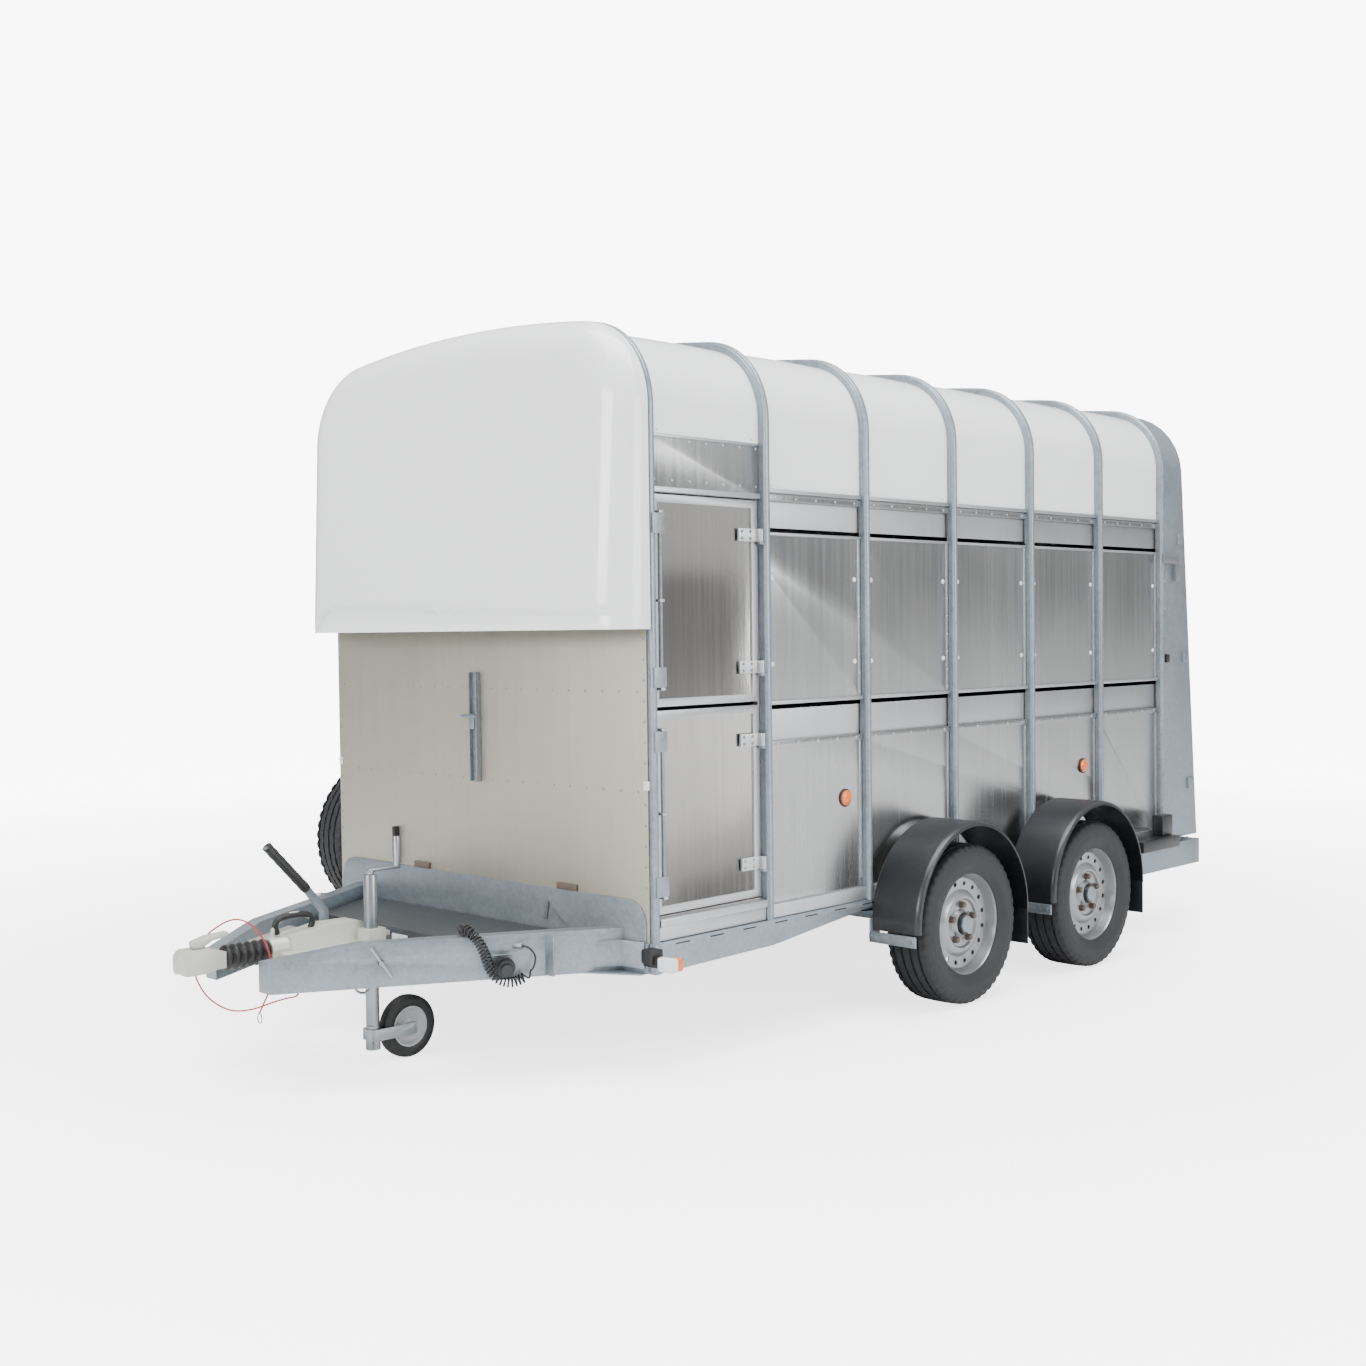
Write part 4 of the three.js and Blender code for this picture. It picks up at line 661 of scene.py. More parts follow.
for side in (-1, 1):
    for bay in range(6):
        y0, y1 = bay * BAY + 1, (bay + 1) * BAY - HOOP_WIDTH - 1
        if side == 1 and bay == 0:
            strips.append(bar(789.6, 792.5, y0, y1, 1909, 1917))
            continue
        for low, high in ((470, 966), (1084, 1636)):
            for edge in (y0 + 1, y1 - 15):
                strips.append(bar(side * SHEET_FACE, side * 792.6, edge, edge + 14, low, high, 0.8))
        sills.append(bar(side * SHEET_FACE, side * 800, y0, y1, 1084, 1096, 2))
        sills.append(bar(side * SHEET_FACE, side * 797, y0, y1, 1629, 1638, 2))
        sills.append(bar(side * SHEET_FACE, side * 799.5, y0, y1, 1765, 1778, 2))
    first = 1 if side == -1 else 492
    sills.append(bar(side * SHEET_FACE, side * 806, first, 3078, 396, 440, 2))
sills.append(bar(762, 786, 477.5, 489, 470, 1740, 2))
sills.append(bar(786, 806, 3, 486, 396, 436, 2))
sills.append(bar(786, 812, 3, 486, 437, 462, 3))
sills.append(bar(SHEET_FACE, 800, 3, 486, 1742, 1758, 2))
for name, parts in (("Panel_edge_strips", strips), ("Panel_ledges", sills)):
    hang(mesh_piece(name, join_pieces(name, parts), folded_metal), "chassis", "aluminium")

# ---------------------------------------------------------------- rivets
# Domed blind rivets in rows along every sheet edge, and the plain hexagon bolts
# that hold brackets and lamps.
def studs_tree(name, sides, paint):
    """Puts a domed or hexagon head on every vertex of a mesh."""
    tree = bpy.data.node_groups.new(name, "GeometryNodeTree")
    tree.interface.new_socket("Spots", in_out="INPUT", socket_type="NodeSocketGeometry")
    tree.interface.new_socket("Head radius", in_out="INPUT", socket_type="NodeSocketFloat")
    tree.interface.new_socket("Head height", in_out="INPUT", socket_type="NodeSocketFloat")
    tree.interface.new_socket("Facing", in_out="INPUT", socket_type="NodeSocketVector")
    tree.interface.new_socket("Heads", in_out="OUTPUT", socket_type="NodeSocketGeometry")
    taken, given = tree.nodes.new("NodeGroupInput"), tree.nodes.new("NodeGroupOutput")
    head = tree.nodes.new("GeometryNodeMeshCylinder" if sides == 6 else "GeometryNodeMeshUVSphere")
    if sides == 6:
        head.inputs["Vertices"].default_value = 6
        tree.links.new(taken.outputs["Head height"], head.inputs["Depth"])
    else:
        head.inputs["Segments"].default_value = sides
        head.inputs["Rings"].default_value = 6
    tree.links.new(taken.outputs["Head radius"], head.inputs["Radius"])
    shape = tree.nodes.new("GeometryNodeTransform")
    tree.links.new(head.outputs["Mesh"], shape.inputs["Geometry"])
    if sides != 6:
        flat = tree.nodes.new("ShaderNodeMath")
        flat.operation = "DIVIDE"
        tree.links.new(taken.outputs["Head height"], flat.inputs[0])
        tree.links.new(taken.outputs["Head radius"], flat.inputs[1])
        scale = tree.nodes.new("ShaderNodeCombineXYZ")
        scale.inputs["X"].default_value = 1
        scale.inputs["Y"].default_value = 1
        tree.links.new(flat.outputs[0], scale.inputs["Z"])
        tree.links.new(scale.outputs[0], shape.inputs["Scale"])
    aim = tree.nodes.new("FunctionNodeAlignEulerToVector")
    aim.axis = "Z"
    tree.links.new(taken.outputs["Facing"], aim.inputs["Vector"])
    place = tree.nodes.new("GeometryNodeInstanceOnPoints")
    tree.links.new(taken.outputs["Spots"], place.inputs["Points"])
    tree.links.new(shape.outputs["Geometry"], place.inputs["Instance"])
    tree.links.new(aim.outputs["Rotation"], place.inputs["Rotation"])
    solid = tree.nodes.new("GeometryNodeRealizeInstances")
    coat = tree.nodes.new("GeometryNodeSetMaterial")
    coat.inputs["Material"].default_value = paint
    tree.links.new(place.outputs["Instances"], solid.inputs["Geometry"])
    tree.links.new(solid.outputs["Geometry"], coat.inputs["Geometry"])
    tree.links.new(coat.outputs["Geometry"], given.inputs["Heads"])
    return tree


def studs(name, tree, paint, body, slot, spots, facing, radius, height):
    """Heads at the given points, all facing one way, made one plain mesh."""
    mesh = bpy.data.meshes.new(name)
    mesh.from_pydata([tuple(spot) for spot in spots], [], [])
    seed = bpy.data.objects.new(name + " spots", mesh)
    bpy.context.scene.collection.objects.link(seed)
    added = seed.modifiers.new("Heads", "NODES")
    added.node_group = tree
    sockets = tree.interface.items_tree
    named = {socket.name: socket.identifier for socket in sockets if socket.in_out == "INPUT"}
    added[named["Head radius"]] = radius
    added[named["Head height"]] = height
    added[named["Facing"]] = facing
    solved = bpy.context.evaluated_depsgraph_get()
    made = bpy.data.meshes.new_from_object(seed.evaluated_get(solved))
    bpy.data.objects.remove(seed)
    return hang(mesh_piece(name, made, paint, 40), body, slot)


white_cap = surface("White rivet", (0.78, 0.79, 0.79), 0.35, 0.0, moulded, bump=0.00005, coat=0.2)
domed = studs_tree("Domed heads", 12, folded_metal)
capped = studs_tree("Capped heads", 12, white_cap)
hexed = studs_tree("Hexagon heads", 6, zinc_fresh)
for side, word in ((1, "left"), (-1, "right")):
    seam = []
    caps = []
    for bay in range(6):
        if side == 1 and bay == 0:
            seam += [at(789.8, 20 + k * 76, z) for k in range(7) for z in (1780, 1900)]
            continue
        for y in (bay * BAY + 8, (bay + 1) * BAY - 39):
            seam += [at(side * 792.7, y, z) for z in range(500, 950, 62)]
            seam += [at(side * 792.7, y, z) for z in range(1110, 1630, 64)]
        for y in (bay * BAY + 30, (bay + 1) * BAY - 62):
            caps += [at(side * 789.9, y, z) for z in (1214, 1492)]
        seam += [at(side * 799.7, bay * BAY + 40 + k * 102, 1749) for k in range(5)]
        seam += [at(side * 799.7, bay * BAY + 40 + k * 102, 956) for k in range(5)]
    facing = (side, 0, 0)
    studs(f"Sheet_rivets_{word}", domed, folded_metal, "chassis", "aluminium", seam, facing, 0.0038, 0.0018)
    studs(f"Capped_rivets_{word}", capped, white_cap, "chassis", "gelcoat", caps, facing, 0.0085, 0.004)

# ---------------------------------------------------------------- vent flaps
# Long folded aluminium flaps behind the side sheets, one to each row of vents,
# turned on a folded edge.
for name in ("upper_left", "lower_left", "upper_right", "lower_right"):
    flap = mesh_piece(f"Vent_flap_{name}", softened(f"vent_flap_{name}", 0.4), folded_metal)
    hang(flap, f"vent_flap_{name}", "aluminium", f"vent_flap_{name}")

# ---------------------------------------------------------------- doors
# Two leaves, each a welded aluminium tube frame round a thin bright sheet, hung
# on strap hinges and held by galvanised dogs on a turning rod.
bright_metal = surface("Bright door sheet", (0.43, 0.425, 0.41), 0.12, 1.0, brushed, 0.16, 0.03, 0.006)
for leaf, low, high in (("upper", 1098, 1736), ("lower", 472, 1086)):
    mesh = finish_mesh(softened(f"door_{leaf}", 0.8), folded_metal)
    mesh.materials.append(bright_metal)
    for face in mesh.polygons:
        middle = face.center
        inside = 29.5 < middle.y * 1000 + 1139 < 450.5 and low + 24.5 < middle.z * 1000 < high - 24.5
        if inside and middle.x < 0.7845:
            face.material_index = 1
    hang(bpy.data.objects.new(f"Door_{leaf}", mesh), f"door_{leaf}", "aluminium", f"door_{leaf}")
    latch = mesh_piece(f"Door_latch_{leaf}", softened(f"door_latch_{leaf}", 1.0), zinc_plate)
    hang(latch, f"door_latch_{leaf}", "galvanised", f"door_latch_{leaf}")
    heads = []
    for strap in (low + 110, high - 110):
        heads += [at(795.9, y, strap + z) for y in (400, 439.2) for z in (-11, 11)]
    bolts = f"Door_{leaf}_hinge_bolts"
    studs(bolts, hexed, zinc_fresh, f"door_{leaf}", "galvanised", heads, (1, 0, 0), 0.0052, 0.004)
    edge = [at(790.0, y, z) for y in (17, 463) for z in range(low + 40, high - 20, 92)]
    rivets = f"Door_{leaf}_rivets"
    studs(rivets, domed, folded_metal, f"door_{leaf}", "aluminium", edge, (1, 0, 0), 0.0034, 0.0016)

# ---------------------------------------------------------------- roof
# White glass fibre sheets, laid under the hoops bay by bay, glossy outside and
# crowned a little between one hoop and the next.
gel_coat = surface("White gel coat", (0.87, 0.885, 0.89), 0.16, 0.0, moulded, 0.03, 0.04, 0.00004, coat=0.45)
ROOF_FOOT = 1778.3
DOOR_ROOF_FOOT = 1917.3
LAP = 2


def crowned(y0, y1, rows, feet):
    """A roof sheet between two heights of foot, swelling mid-bay."""
    build = bmesh.new()
    skins = []
    for skin in (28.4, 31.0):
        lines = []
        for k in range(rows + 1):
            y = y0 + (y1 - y0) * k / rows
            swell = 3.0 * math.sin(math.pi * k / rows) if rows > 1 else 0
            right_side = arch(skin - swell, feet[1])
            left_side = arch(skin - swell, feet[0])
            half = len(left_side) // 2
            lines.append([build.verts.new(at(x, y, z)) for x, z in left_side[:half] + right_side[half:]])
        skins.append(lines)
    for lines in skins:
        for one, two in zip(lines, lines[1:]):
            for a, b, c, d in zip(one, one[1:], two[1:], two):
                build.faces.new((a, b, c, d))
    outer, inner = skins
    for one, two in ((outer[0], inner[0]), (outer[-1], inner[-1])):
        for a, b, c, d in zip(one, one[1:], two[1:], two):
            build.faces.new((a, b, c, d))
    for pick in (0, -1):
        for k in range(rows):
            build.faces.new((outer[k][pick], outer[k + 1][pick], inner[k + 1][pick], inner[k][pick]))
    bmesh.ops.recalc_face_normals(build, faces=build.faces)
    return mesh_from(build)


sheets = [crowned(-HOOP_WIDTH, -LAP, 1, (DOOR_ROOF_FOOT, ROOF_FOOT))]
for bay in range(6):
    feet = (DOOR_ROOF_FOOT if bay == 0 else ROOF_FOOT, ROOF_FOOT)
    next_hoop = (bay + 1) * BAY - HOOP_WIDTH + 1
    sheets.append(crowned(bay * BAY - LAP, next_hoop, 8, feet))
    sheets.append(crowned(next_hoop, (bay + 1) * BAY - LAP, 1, feet))
hang(mesh_piece("Roof_sheets", join_pieces("Roof", sheets), gel_coat, 40), "chassis", "gelcoat", "roof_skin")
for side, word in ((1, "left"), (-1, "right")):
    row = []
    for bay in range(6):
        low = 1928 if side == 1 and bay == 0 else 1790
        row += [at(side * 789.9, bay * BAY + 30 + k * 106, low) for k in range(5)]
    facing = (side, 0, 0)
    studs(f"Roof_rivets_{word}", domed, folded_metal, "chassis", "aluminium", row, facing, 0.0036, 0.0016)

# ---------------------------------------------------------------- nose
# One deep white glass fibre moulding over the front, with large soft edges and a
# shallow chin along its foot, bonded to the first hoop.
NOSE_BACK = -30.3
NOSE_FOOT = 1332.3
NOSE_EDGE = 115
NOSE_SKIN = 5


def nose_point(x, z, inset):
    """Where the moulding stands at one place of the front."""
    rise = min(inset, NOSE_EDGE)
    forward = 30 + math.sqrt(NOSE_EDGE ** 2 - (NOSE_EDGE - rise) ** 2)
    lean = forward * 0.045 * (z - 1332) / 145
    edge = min(max((inset - 6) / 70, 0), 1)
    crease = 1430 - 34 * (x + 700) / 1400 - 70 * max((-x - 640) / 120, 0) ** 2
    below = min(max((crease - z) / 15, 0), 1)
    fade = min(max((z - 1336) / max(crease - 1336, 1), 0), 1)
    depth = 30 - 18 * min(max((x + 700) / 1400, 0), 1)
    step = depth * edge * below * below * (3 - 2 * below) * fade ** 0.6
    return at(x, NOSE_BACK - forward + lean + step, z)


def nose_rings(skin):
    """Rings from the back edge, round the soft edge and over the face."""
    rings = []
    behind = Vector((0, skin / 1000, 0))
    start = 1.7 + skin
    for depth in (0, 10, 20):
        rings.append([at(x, NOSE_BACK - depth, z) for x, z in arch(start, NOSE_FOOT, 72)])
    wide = NOSE_EDGE - start
    for k in range(13):
        inset = wide * (1 - math.cos(math.pi / 2 * k / 12))
        places = arch(start + inset, NOSE_FOOT, 72)
        rings.append([nose_point(x, z, inset * NOSE_EDGE / wide) + behind for x, z in places])
    edge = arch(NOSE_EDGE, NOSE_FOOT, 72)
    for k in range(1, 41):
        share = 1 - k / 41
        inset = NOSE_EDGE + (1 - share) * 400
        spots = [(x * share, NOSE_FOOT + (z - NOSE_FOOT) * share) for x, z in edge]
        rings.append([nose_point(x, z, inset) + behind for x, z in spots])
    return rings


build = bmesh.new()
outer = [[build.verts.new(point) for point in ring] for ring in nose_rings(0)]
inner = [[build.verts.new(point) for point in ring] for ring in nose_rings(NOSE_SKIN)]
for lines in (outer, inner):
    for one, two in zip(lines, lines[1:]):
        for a, b, c, d in zip(one, one[1:], two[1:], two):
            build.faces.new((a, b, c, d))
    build.faces.new(lines[-1])
for a, b, c, d in zip(outer[0], outer[0][1:], inner[0][1:], inner[0]):
    build.faces.new((a, b, c, d))
for pick in (0, -1):
    for k in range(len(outer) - 1):
        build.faces.new((outer[k][pick], outer[k + 1][pick], inner[k + 1][pick], inner[k][pick]))
build.faces.new((outer[-1][0], outer[-1][-1], inner[-1][-1], inner[-1][0]))
bmesh.ops.recalc_face_normals(build, faces=build.faces)
hang(mesh_piece("Nose_moulding", mesh_from(build), gel_coat, 50), "chassis", "gelcoat", "nose_cone")
trim = []
for side in (-1, 1):
    trim.append(bar(side * 784, side * 804, -36.5, -28, 853, 879, 1.5))
hang(mesh_piece("Wall_edge_brackets", join_pieces("Edge brackets", trim), white_cap), "chassis", "gelcoat")

# ---------------------------------------------------------------- front wall
# Plain mill aluminium with a warm matte face, riveted to the frame behind, and a
# galvanised channel up the middle with a cranked pin across it.
mill = surface("Matte mill aluminium", (0.47, 0.448, 0.38), 0.50, 0.85, brushed, 0.07, 0.05, 0.0015)
hang(mesh_piece("Front_wall", softened("front_wall", 0.4), mill), "chassis", "aluminium", "front_wall")
WALL_FACE = -35.2
wall_rivets = [at(-760 + k * 76, WALL_FACE, z) for k in range(21) for z in (1145, 846)]
wall_rivets += [at(x, WALL_FACE, 560 + k * 62) for x in (-790, 790) for k in range(13)]
studs("Front_wall_rivets", domed, zinc_plate, "chassis", "aluminium", wall_rivets, (0, -1, 0), 0.0048, 0.0016)
channel = [bar(-20, 20, -44, WALL_FACE, 836, 1197, 2)]
channel += [bar(x, x + 6, -56, -40, 836, 1197, 2) for x in (-20, 14)]
channel.append(rod((-52, -62, 1052), (30, -62, 1052), 5))
channel.append(rod((-52, -62, 1052), (-52, -44, 1052), 5))
channel.append(bar(-13, 13, -60, -48, 1010, 1060, 2))
hang(mesh_piece("Wall_channel", join_pieces("Channel", channel), zinc_plate), "chassis", "galvanised")
bolts = [at(0, -45, z) for z in (860, 930, 1100, 1172)]
ahead_way = (0, -1, 0)
studs("Wall_channel_bolts", hexed, zinc_fresh, "chassis", "galvanised", bolts, ahead_way, 0.0065, 0.005)
handle = [bar(-466, -446, -52, -35, 540, 652, 4), bar(-470, -442, -42, -35, 521, 544, 2)]
hang(mesh_piece("Wall_handle", join_pieces("Handle", handle), black_plastic), "chassis", "black_plastic")
clay = surface("Weathered stop block", (0.13, 0.095, 0.07), 0.6, 0.0, moulded, 0.2)
blocks = [bar(x0, x1, -43, WALL_FACE, 520, 540, 2) for x0, x1 in ((-352, -268), (392, 486))]
hang(mesh_piece("Wall_stop_blocks", join_pieces("Blocks", blocks), clay), "chassis", "rubber")

# ---------------------------------------------------------------- ramp
# Full height tail ramp of galvanised steel, closed against the last hoop and held
# by a catch on each side, with a rubber mat and raised treads on its inner face.
RAMP_LEAN = 0.08338
RAMP_FOOT_Z = 386


def ramp_back(z):
    """How far back the outer side of the ramp stands at a height."""
    return 3418 - RAMP_LEAN * (z - RAMP_FOOT_Z)


def ramp_face(z, proud):
    """A point of the ramp's inner side, standing a little proud of it."""
    return (3386 - RAMP_LEAN * (z - RAMP_FOOT_Z) - proud, z)


hang(mesh_piece("Ramp", softened("ramp_panel", 1.2), zinc_plate), "ramp", "galvanised", "ramp_panel")
for side, word in ((1, "left"), (-1, "right")):
    catch = mesh_piece(f"Ramp_catch_{word}", softened(f"ramp_catch_{word}", 1.5), zinc_fresh)
    hang(catch, f"ramp_catch_{word}", "galvanised", f"ramp_catch_{word}")
ribs = []
for k in range(9):
    z = 470 + k * 205
    ribs.append(bar(-742, 742, ramp_back(z) - 3, ramp_back(z) + 6, z, z + 34, 3))
for side in (-1, 1):
    for z in (620, 1180, 1700):
        ribs.append(bar(side * 800, side * 812, ramp_back(z) - 70, ramp_back(z) - 20, z - 24, z + 24, 3))
hang(mesh_piece("Ramp_stiffeners", join_pieces("Stiffeners", ribs), zinc_plate), "ramp", "galvanised")
mat_outline = [ramp_face(500, -2), ramp_face(2140, -2), ramp_face(2140, 4), ramp_face(500, 4)]
mat = plate(mat_outline, "x", -738, 738, 1)
mat_black = (0.016, 0.017, 0.018)
mat_rubber = surface("Dusty rubber mat", mat_black, 0.62, 0.0, moulded, 0.3, 0.08, 0.0008, Dust=0.6)
hang(mesh_piece("Ramp_mat", mat, mat_rubber), "ramp", "rubber")
treads = []
for k in range(9):
    z = 560 + k * 190
    tread = [ramp_face(z, 3), ramp_face(z + 30, 3), ramp_face(z + 26, 16), ramp_face(z + 4, 16)]
    treads.append(plate(tread, "x", -700, 700, 2))
hang(mesh_piece("Ramp_treads", join_pieces("Treads", treads), folded_metal), "ramp", "aluminium")
buffers = [bar(side * 800, side * 817, 3120, 3150, 1160, 1196, 4) for side in (-1, 1)]
hang(mesh_piece("Ramp_buffers", join_pieces("Buffers", buffers), black_plastic), "ramp", "rubber")
for side, word in ((1, "left"), (-1, "right")):
    edge = [at(side * 804.4, 3130, z) for z in range(450, 1980, 118)]
    facing = (side, 0, 0)
    studs(f"Ramp_rivets_{word}", domed, zinc_fresh, "ramp", "galvanised", edge, facing, 0.0042, 0.002)

# ---------------------------------------------------------------- deck
# Phenolic faced plywood floor on the cross members, dark brown and matte, with a
# fine anti-slip tooth.
deck = surface("Phenolic deck", (0.075, 0.05, 0.035), 0.62, 0.0, moulded, 0.2, 0.08, 0.0006)
hang(mesh_piece("Floor", softened("floor_deck", 1.5), deck), "chassis", "deck_board", "floor_deck")

# ---------------------------------------------------------------- mudguards
# Moulded black plastic guards, one over each wheel, with rolled edges, a flap at
# the back and a galvanised stay at the front foot.
guard_black = (0.0075, 0.009, 0.0115)
guard_plastic = surface("Mudguard plastic", guard_black, 0.36, 0.0, moulded, 0.25, 0.07, 0.0003, coat=0.2)
WHEEL_PLACES = (("front", 1356), ("rear", 2204))
GUARD_CENTRE_Z = 304.6
GUARD_FOOT_Z = 292
GUARD_RADIUS = 342
guard_section = [
    (820, 326), (820, 339), (824, 342), (1000, 342), (1010, 340.5), (1017, 335.5),
    (1020, 328), (1020, 325), (1016, 325), (1015.5, 329), (1013, 334), (1008, 337),
    (1000, 338), (826, 338), (824, 336), (824, 326),
]


def guard_mesh(side, y0):
    """One guard: its section swept round the wheel."""
    build = bmesh.new()
    first = math.asin((GUARD_FOOT_Z - GUARD_CENTRE_Z) / GUARD_RADIUS)
    loops = []
    for k in range(49):
        a = first + (math.pi - 2 * first) * k / 48
        loop = []
        for x, r in guard_section:
            spot = at(side * x, y0 - r * math.cos(a), GUARD_CENTRE_Z + r * math.sin(a))
            loop.append(build.verts.new(spot))
        loops.append(loop)
    for one, two in zip(loops, loops[1:]):
        for i in range(len(guard_section)):
            j = (i + 1) % len(guard_section)
            build.faces.new((one[i], one[j], two[j], two[i]))
    build.faces.new(loops[0])
    build.faces.new(loops[-1][::-1])
    bmesh.ops.recalc_face_normals(build, faces=build.faces)
    return mesh_from(build)


for end, y0 in WHEEL_PLACES:
    for side, word in ((1, "left"), (-1, "right")):
        which = f"{end}_{word}"
        flap = bar(side * 824, side * 1014, y0 + 334, y0 + 339, 167, 296, 2)
        guard = join_pieces("Guard", [guard_mesh(side, y0), flap])
        hang(
            mesh_piece(f"Mudguard_{which}", guard, guard_plastic, 30),
            "chassis", "black_plastic", f"mudguard_{which}",
        )
        stay = [bar(side * 818, side * 1012, y0 - 352, y0 - 345, 250, 288, 2)]
        stay.append(bar(side * 818, side * 826, y0 - 352, y0 - 300, 250, 330, 2))
        if side == 1 and end == "front":
            stay.append(bar(818, 900, y0 - 354, y0 - 350, 262, 280, 1))
        stay_piece = mesh_piece(f"Guard_stay_{which}", join_pieces("Stay", stay), zinc_plate)
        hang(stay_piece, "chassis", "galvanised")
        bolts = [at(side * x, y0 - 352.5, 269) for x in (850, 990)]
        bolts_name = f"Guard_bolts_{which}"
        studs(bolts_name, hexed, zinc_fresh, "chassis", "galvanised", bolts, ahead_way, 0.0075, 0.006)

# ---------------------------------------------------------------- axles
# Square beam axles on short leaf springs, galvanised and black, clamped under the
# rails between the wheels.
spring_steel = surface("Black spring steel", (0.012, 0.013, 0.014), 0.5, 0.4, moulded, 0.2)
for end in ("front", "rear"):
    beam = mesh_piece(f"Axle_{end}", softened(f"axle_{end}", 1.5), zinc_plate)
    hang(beam, f"axle_{end}", "galvanised", f"axle_{end}")
    for word in ("left", "right"):
        name = f"leaf_spring_{end}_{word}"
        spring = mesh_piece(name.capitalize(), softened(name, 0.8), spring_steel)
        hang(spring, f"axle_{end}", "wheel_steel", name)

# ---------------------------------------------------------------- tyres and wheels
# Radial tyres with a blocked shoulder and four grooves, on pressed silver steel
# wheels pierced with small round vents and held by five nuts.
tyre_black = (0.0095, 0.0105, 0.0125)
tread_rubber = surface("Tyre rubber", tyre_black, 0.62, 0.0, moulded, 0.3, 0.08, 0.0004, Dust=0.5)
silver = surface("Silver wheel paint", (0.27, 0.28, 0.29), 0.30, 0.6, moulded, 0.10, 0.05, 0.00008, coat=0.3)
rusty = surface("Rusted nut", (0.13, 0.098, 0.082), 0.65, 0.5, zinc, 0.4, 0.08, 0.0006)
WHEEL_X = 915
WHEEL_Z = 282.56
TYRE_SCALE = 0.9915
TYRE_STEPS = 144
SHOULDER_CUT = 6
TREAD_CUT = 3
tyre_half = [
    (72, 178.5), (75, 183), (79, 192), (81, 196), (86, 204), (89.5, 216), (90.8, 229),
    (90.2, 240), (88.4, 250), (88.9, 251.5), (88.2, 254), (86.2, 262), (83, 270), (79, 277),
    (73, 281), (68, 282.5), (57, 283.6), (56, 276.5), (48, 276.5), (47, 284.2), (22, 284.8),
    (21, 277.5), (14, 277.5), (13, 284.9),
]


def mirrored(half):
    """An outline closed by its own mirror image."""
    return half + [(-d, r) for d, r in half[::-1]]


def tyre_mesh(x0, y0, z0, scale, wide=1.0):
    """A tyre standing at a point, its axle along x."""
    closed = mirrored(tyre_half)
    build = bmesh.new()
    loops = []
    for i in range(TYRE_STEPS):
        a = math.tau * i / TYRE_STEPS
        loop = []
        for d, r in closed:
            reach_out = r * scale
            if i % 3 == 0 and abs(d) > 57 and r > 268:
                reach_out -= SHOULDER_CUT * scale
            if i % 4 == 0 and 21 < abs(d) < 48 and r > 283:
                reach_out -= TREAD_CUT * scale
            spot = at(x0 + d * wide, y0 + reach_out * math.cos(a), z0 + reach_out * math.sin(a))
            loop.append(build.verts.new(spot))
        loops.append(loop)
    count = len(closed)
    for i in range(TYRE_STEPS):
        one, two = loops[i], loops[(i + 1) % TYRE_STEPS]
        for k in range(count):
            build.faces.new((one[k], one[(k + 1) % count], two[(k + 1) % count], two[k]))
    bmesh.ops.recalc_face_normals(build, faces=build.faces)
    return mesh_from(build)


def pierced_disc(x, y0, z0, inner, outer, holes, hole_at, hole_radius, side, thick, dish):
    """A ring of sheet with a row of round holes through it."""
    build = bmesh.new()
    step = math.tau / holes

    def disc_corner(depth, reach, across, up):
        """A corner of the disc, pushed out by the dish as it nears the middle."""
        pushed = depth + dish * (outer - reach) / (outer - inner)
        return build.verts.new(at(x + side * pushed, y0 + across, z0 + up))

    for h in range(holes):
        middle = (h + 0.5) * step
        rim_spots = []
        for k in range(6):
            rim_spots.append((outer, middle - step / 2 + step * k / 6))
        for k in range(3):
            rim_spots.append((outer + (inner - outer) * k / 3, middle + step / 2))
        for k in range(6):
            rim_spots.append((inner, middle + step / 2 - step * k / 6))
        for k in range(3):
            rim_spots.append((inner + (outer - inner) * k / 3, middle - step / 2))
        hole_spots = []
        centre = (hole_at * math.cos(middle), hole_at * math.sin(middle))
        for r, a in rim_spots:
            dx, dy = r * math.cos(a) - centre[0], r * math.sin(a) - centre[1]
            size = math.hypot(dx, dy)
            hole_spots.append((centre[0] + dx / size * hole_radius, centre[1] + dy / size * hole_radius))
        layers = []
        for depth in (0, -thick):
            edge = [disc_corner(depth, r, r * math.cos(a), r * math.sin(a)) for r, a in rim_spots]
            ring = [disc_corner(depth, math.hypot(*spot), *spot) for spot in hole_spots]
            layers.append((edge, ring))
        (front_edge, front_ring), (back_edge, back_ring) = layers
        for k in range(18):
            j = (k + 1) % 18
            for edge, ring in layers:
                build.faces.new((edge[k], edge[j], ring[j], ring[k]))
            build.faces.new((front_ring[k], front_ring[j], back_ring[j], back_ring[k]))
            if k < 6 or 9 <= k < 15:
                build.faces.new((front_edge[k], front_edge[j], back_edge[j], back_edge[k]))
    bmesh.ops.remove_doubles(build, verts=build.verts, dist=0.00002)
    bmesh.ops.recalc_face_normals(build, faces=build.faces)
    return mesh_from(build)


def facing_out(side, outline):
    """An outline of (distance along x, radius) turned towards one side."""
    return [(side * d, r) for d, r in outline]


WHEEL_NUTS = 5
NUT_CIRCLE = 66
rim_outline = [
    (-73, 190), (-70, 191.5), (-67, 190), (-67, 181), (-55, 177.5), (-30, 168), (20, 166), (38, 176),
    (62, 178), (66, 183), (66.5, 190), (70, 191.5), (74, 189), (74, 185), (70.5, 184), (69.5, 177),
    (62, 173), (40, 171), (22, 161), (-32, 163), (-58, 173), (-69, 177), (-70, 184), (-73, 186),
]
disc_edge_outline = [(18, 163), (20, 168), (30, 166), (34, 160), (35.5, 157), (31, 157), (28, 159)]
disc_centre_outline = [
    (27, 118), (31, 120), (36, 114), (44, 104), (47, 96), (46, 88), (38, 82), (36, 52), (44, 46),
    (50, 40), (45, 36), (38, 38), (31, 50), (33, 84), (41, 92), (40, 100), (32, 110),
]
hub_ring_outline = [(34, 2), (34, 37), (52, 37), (58, 34), (58, 2)]
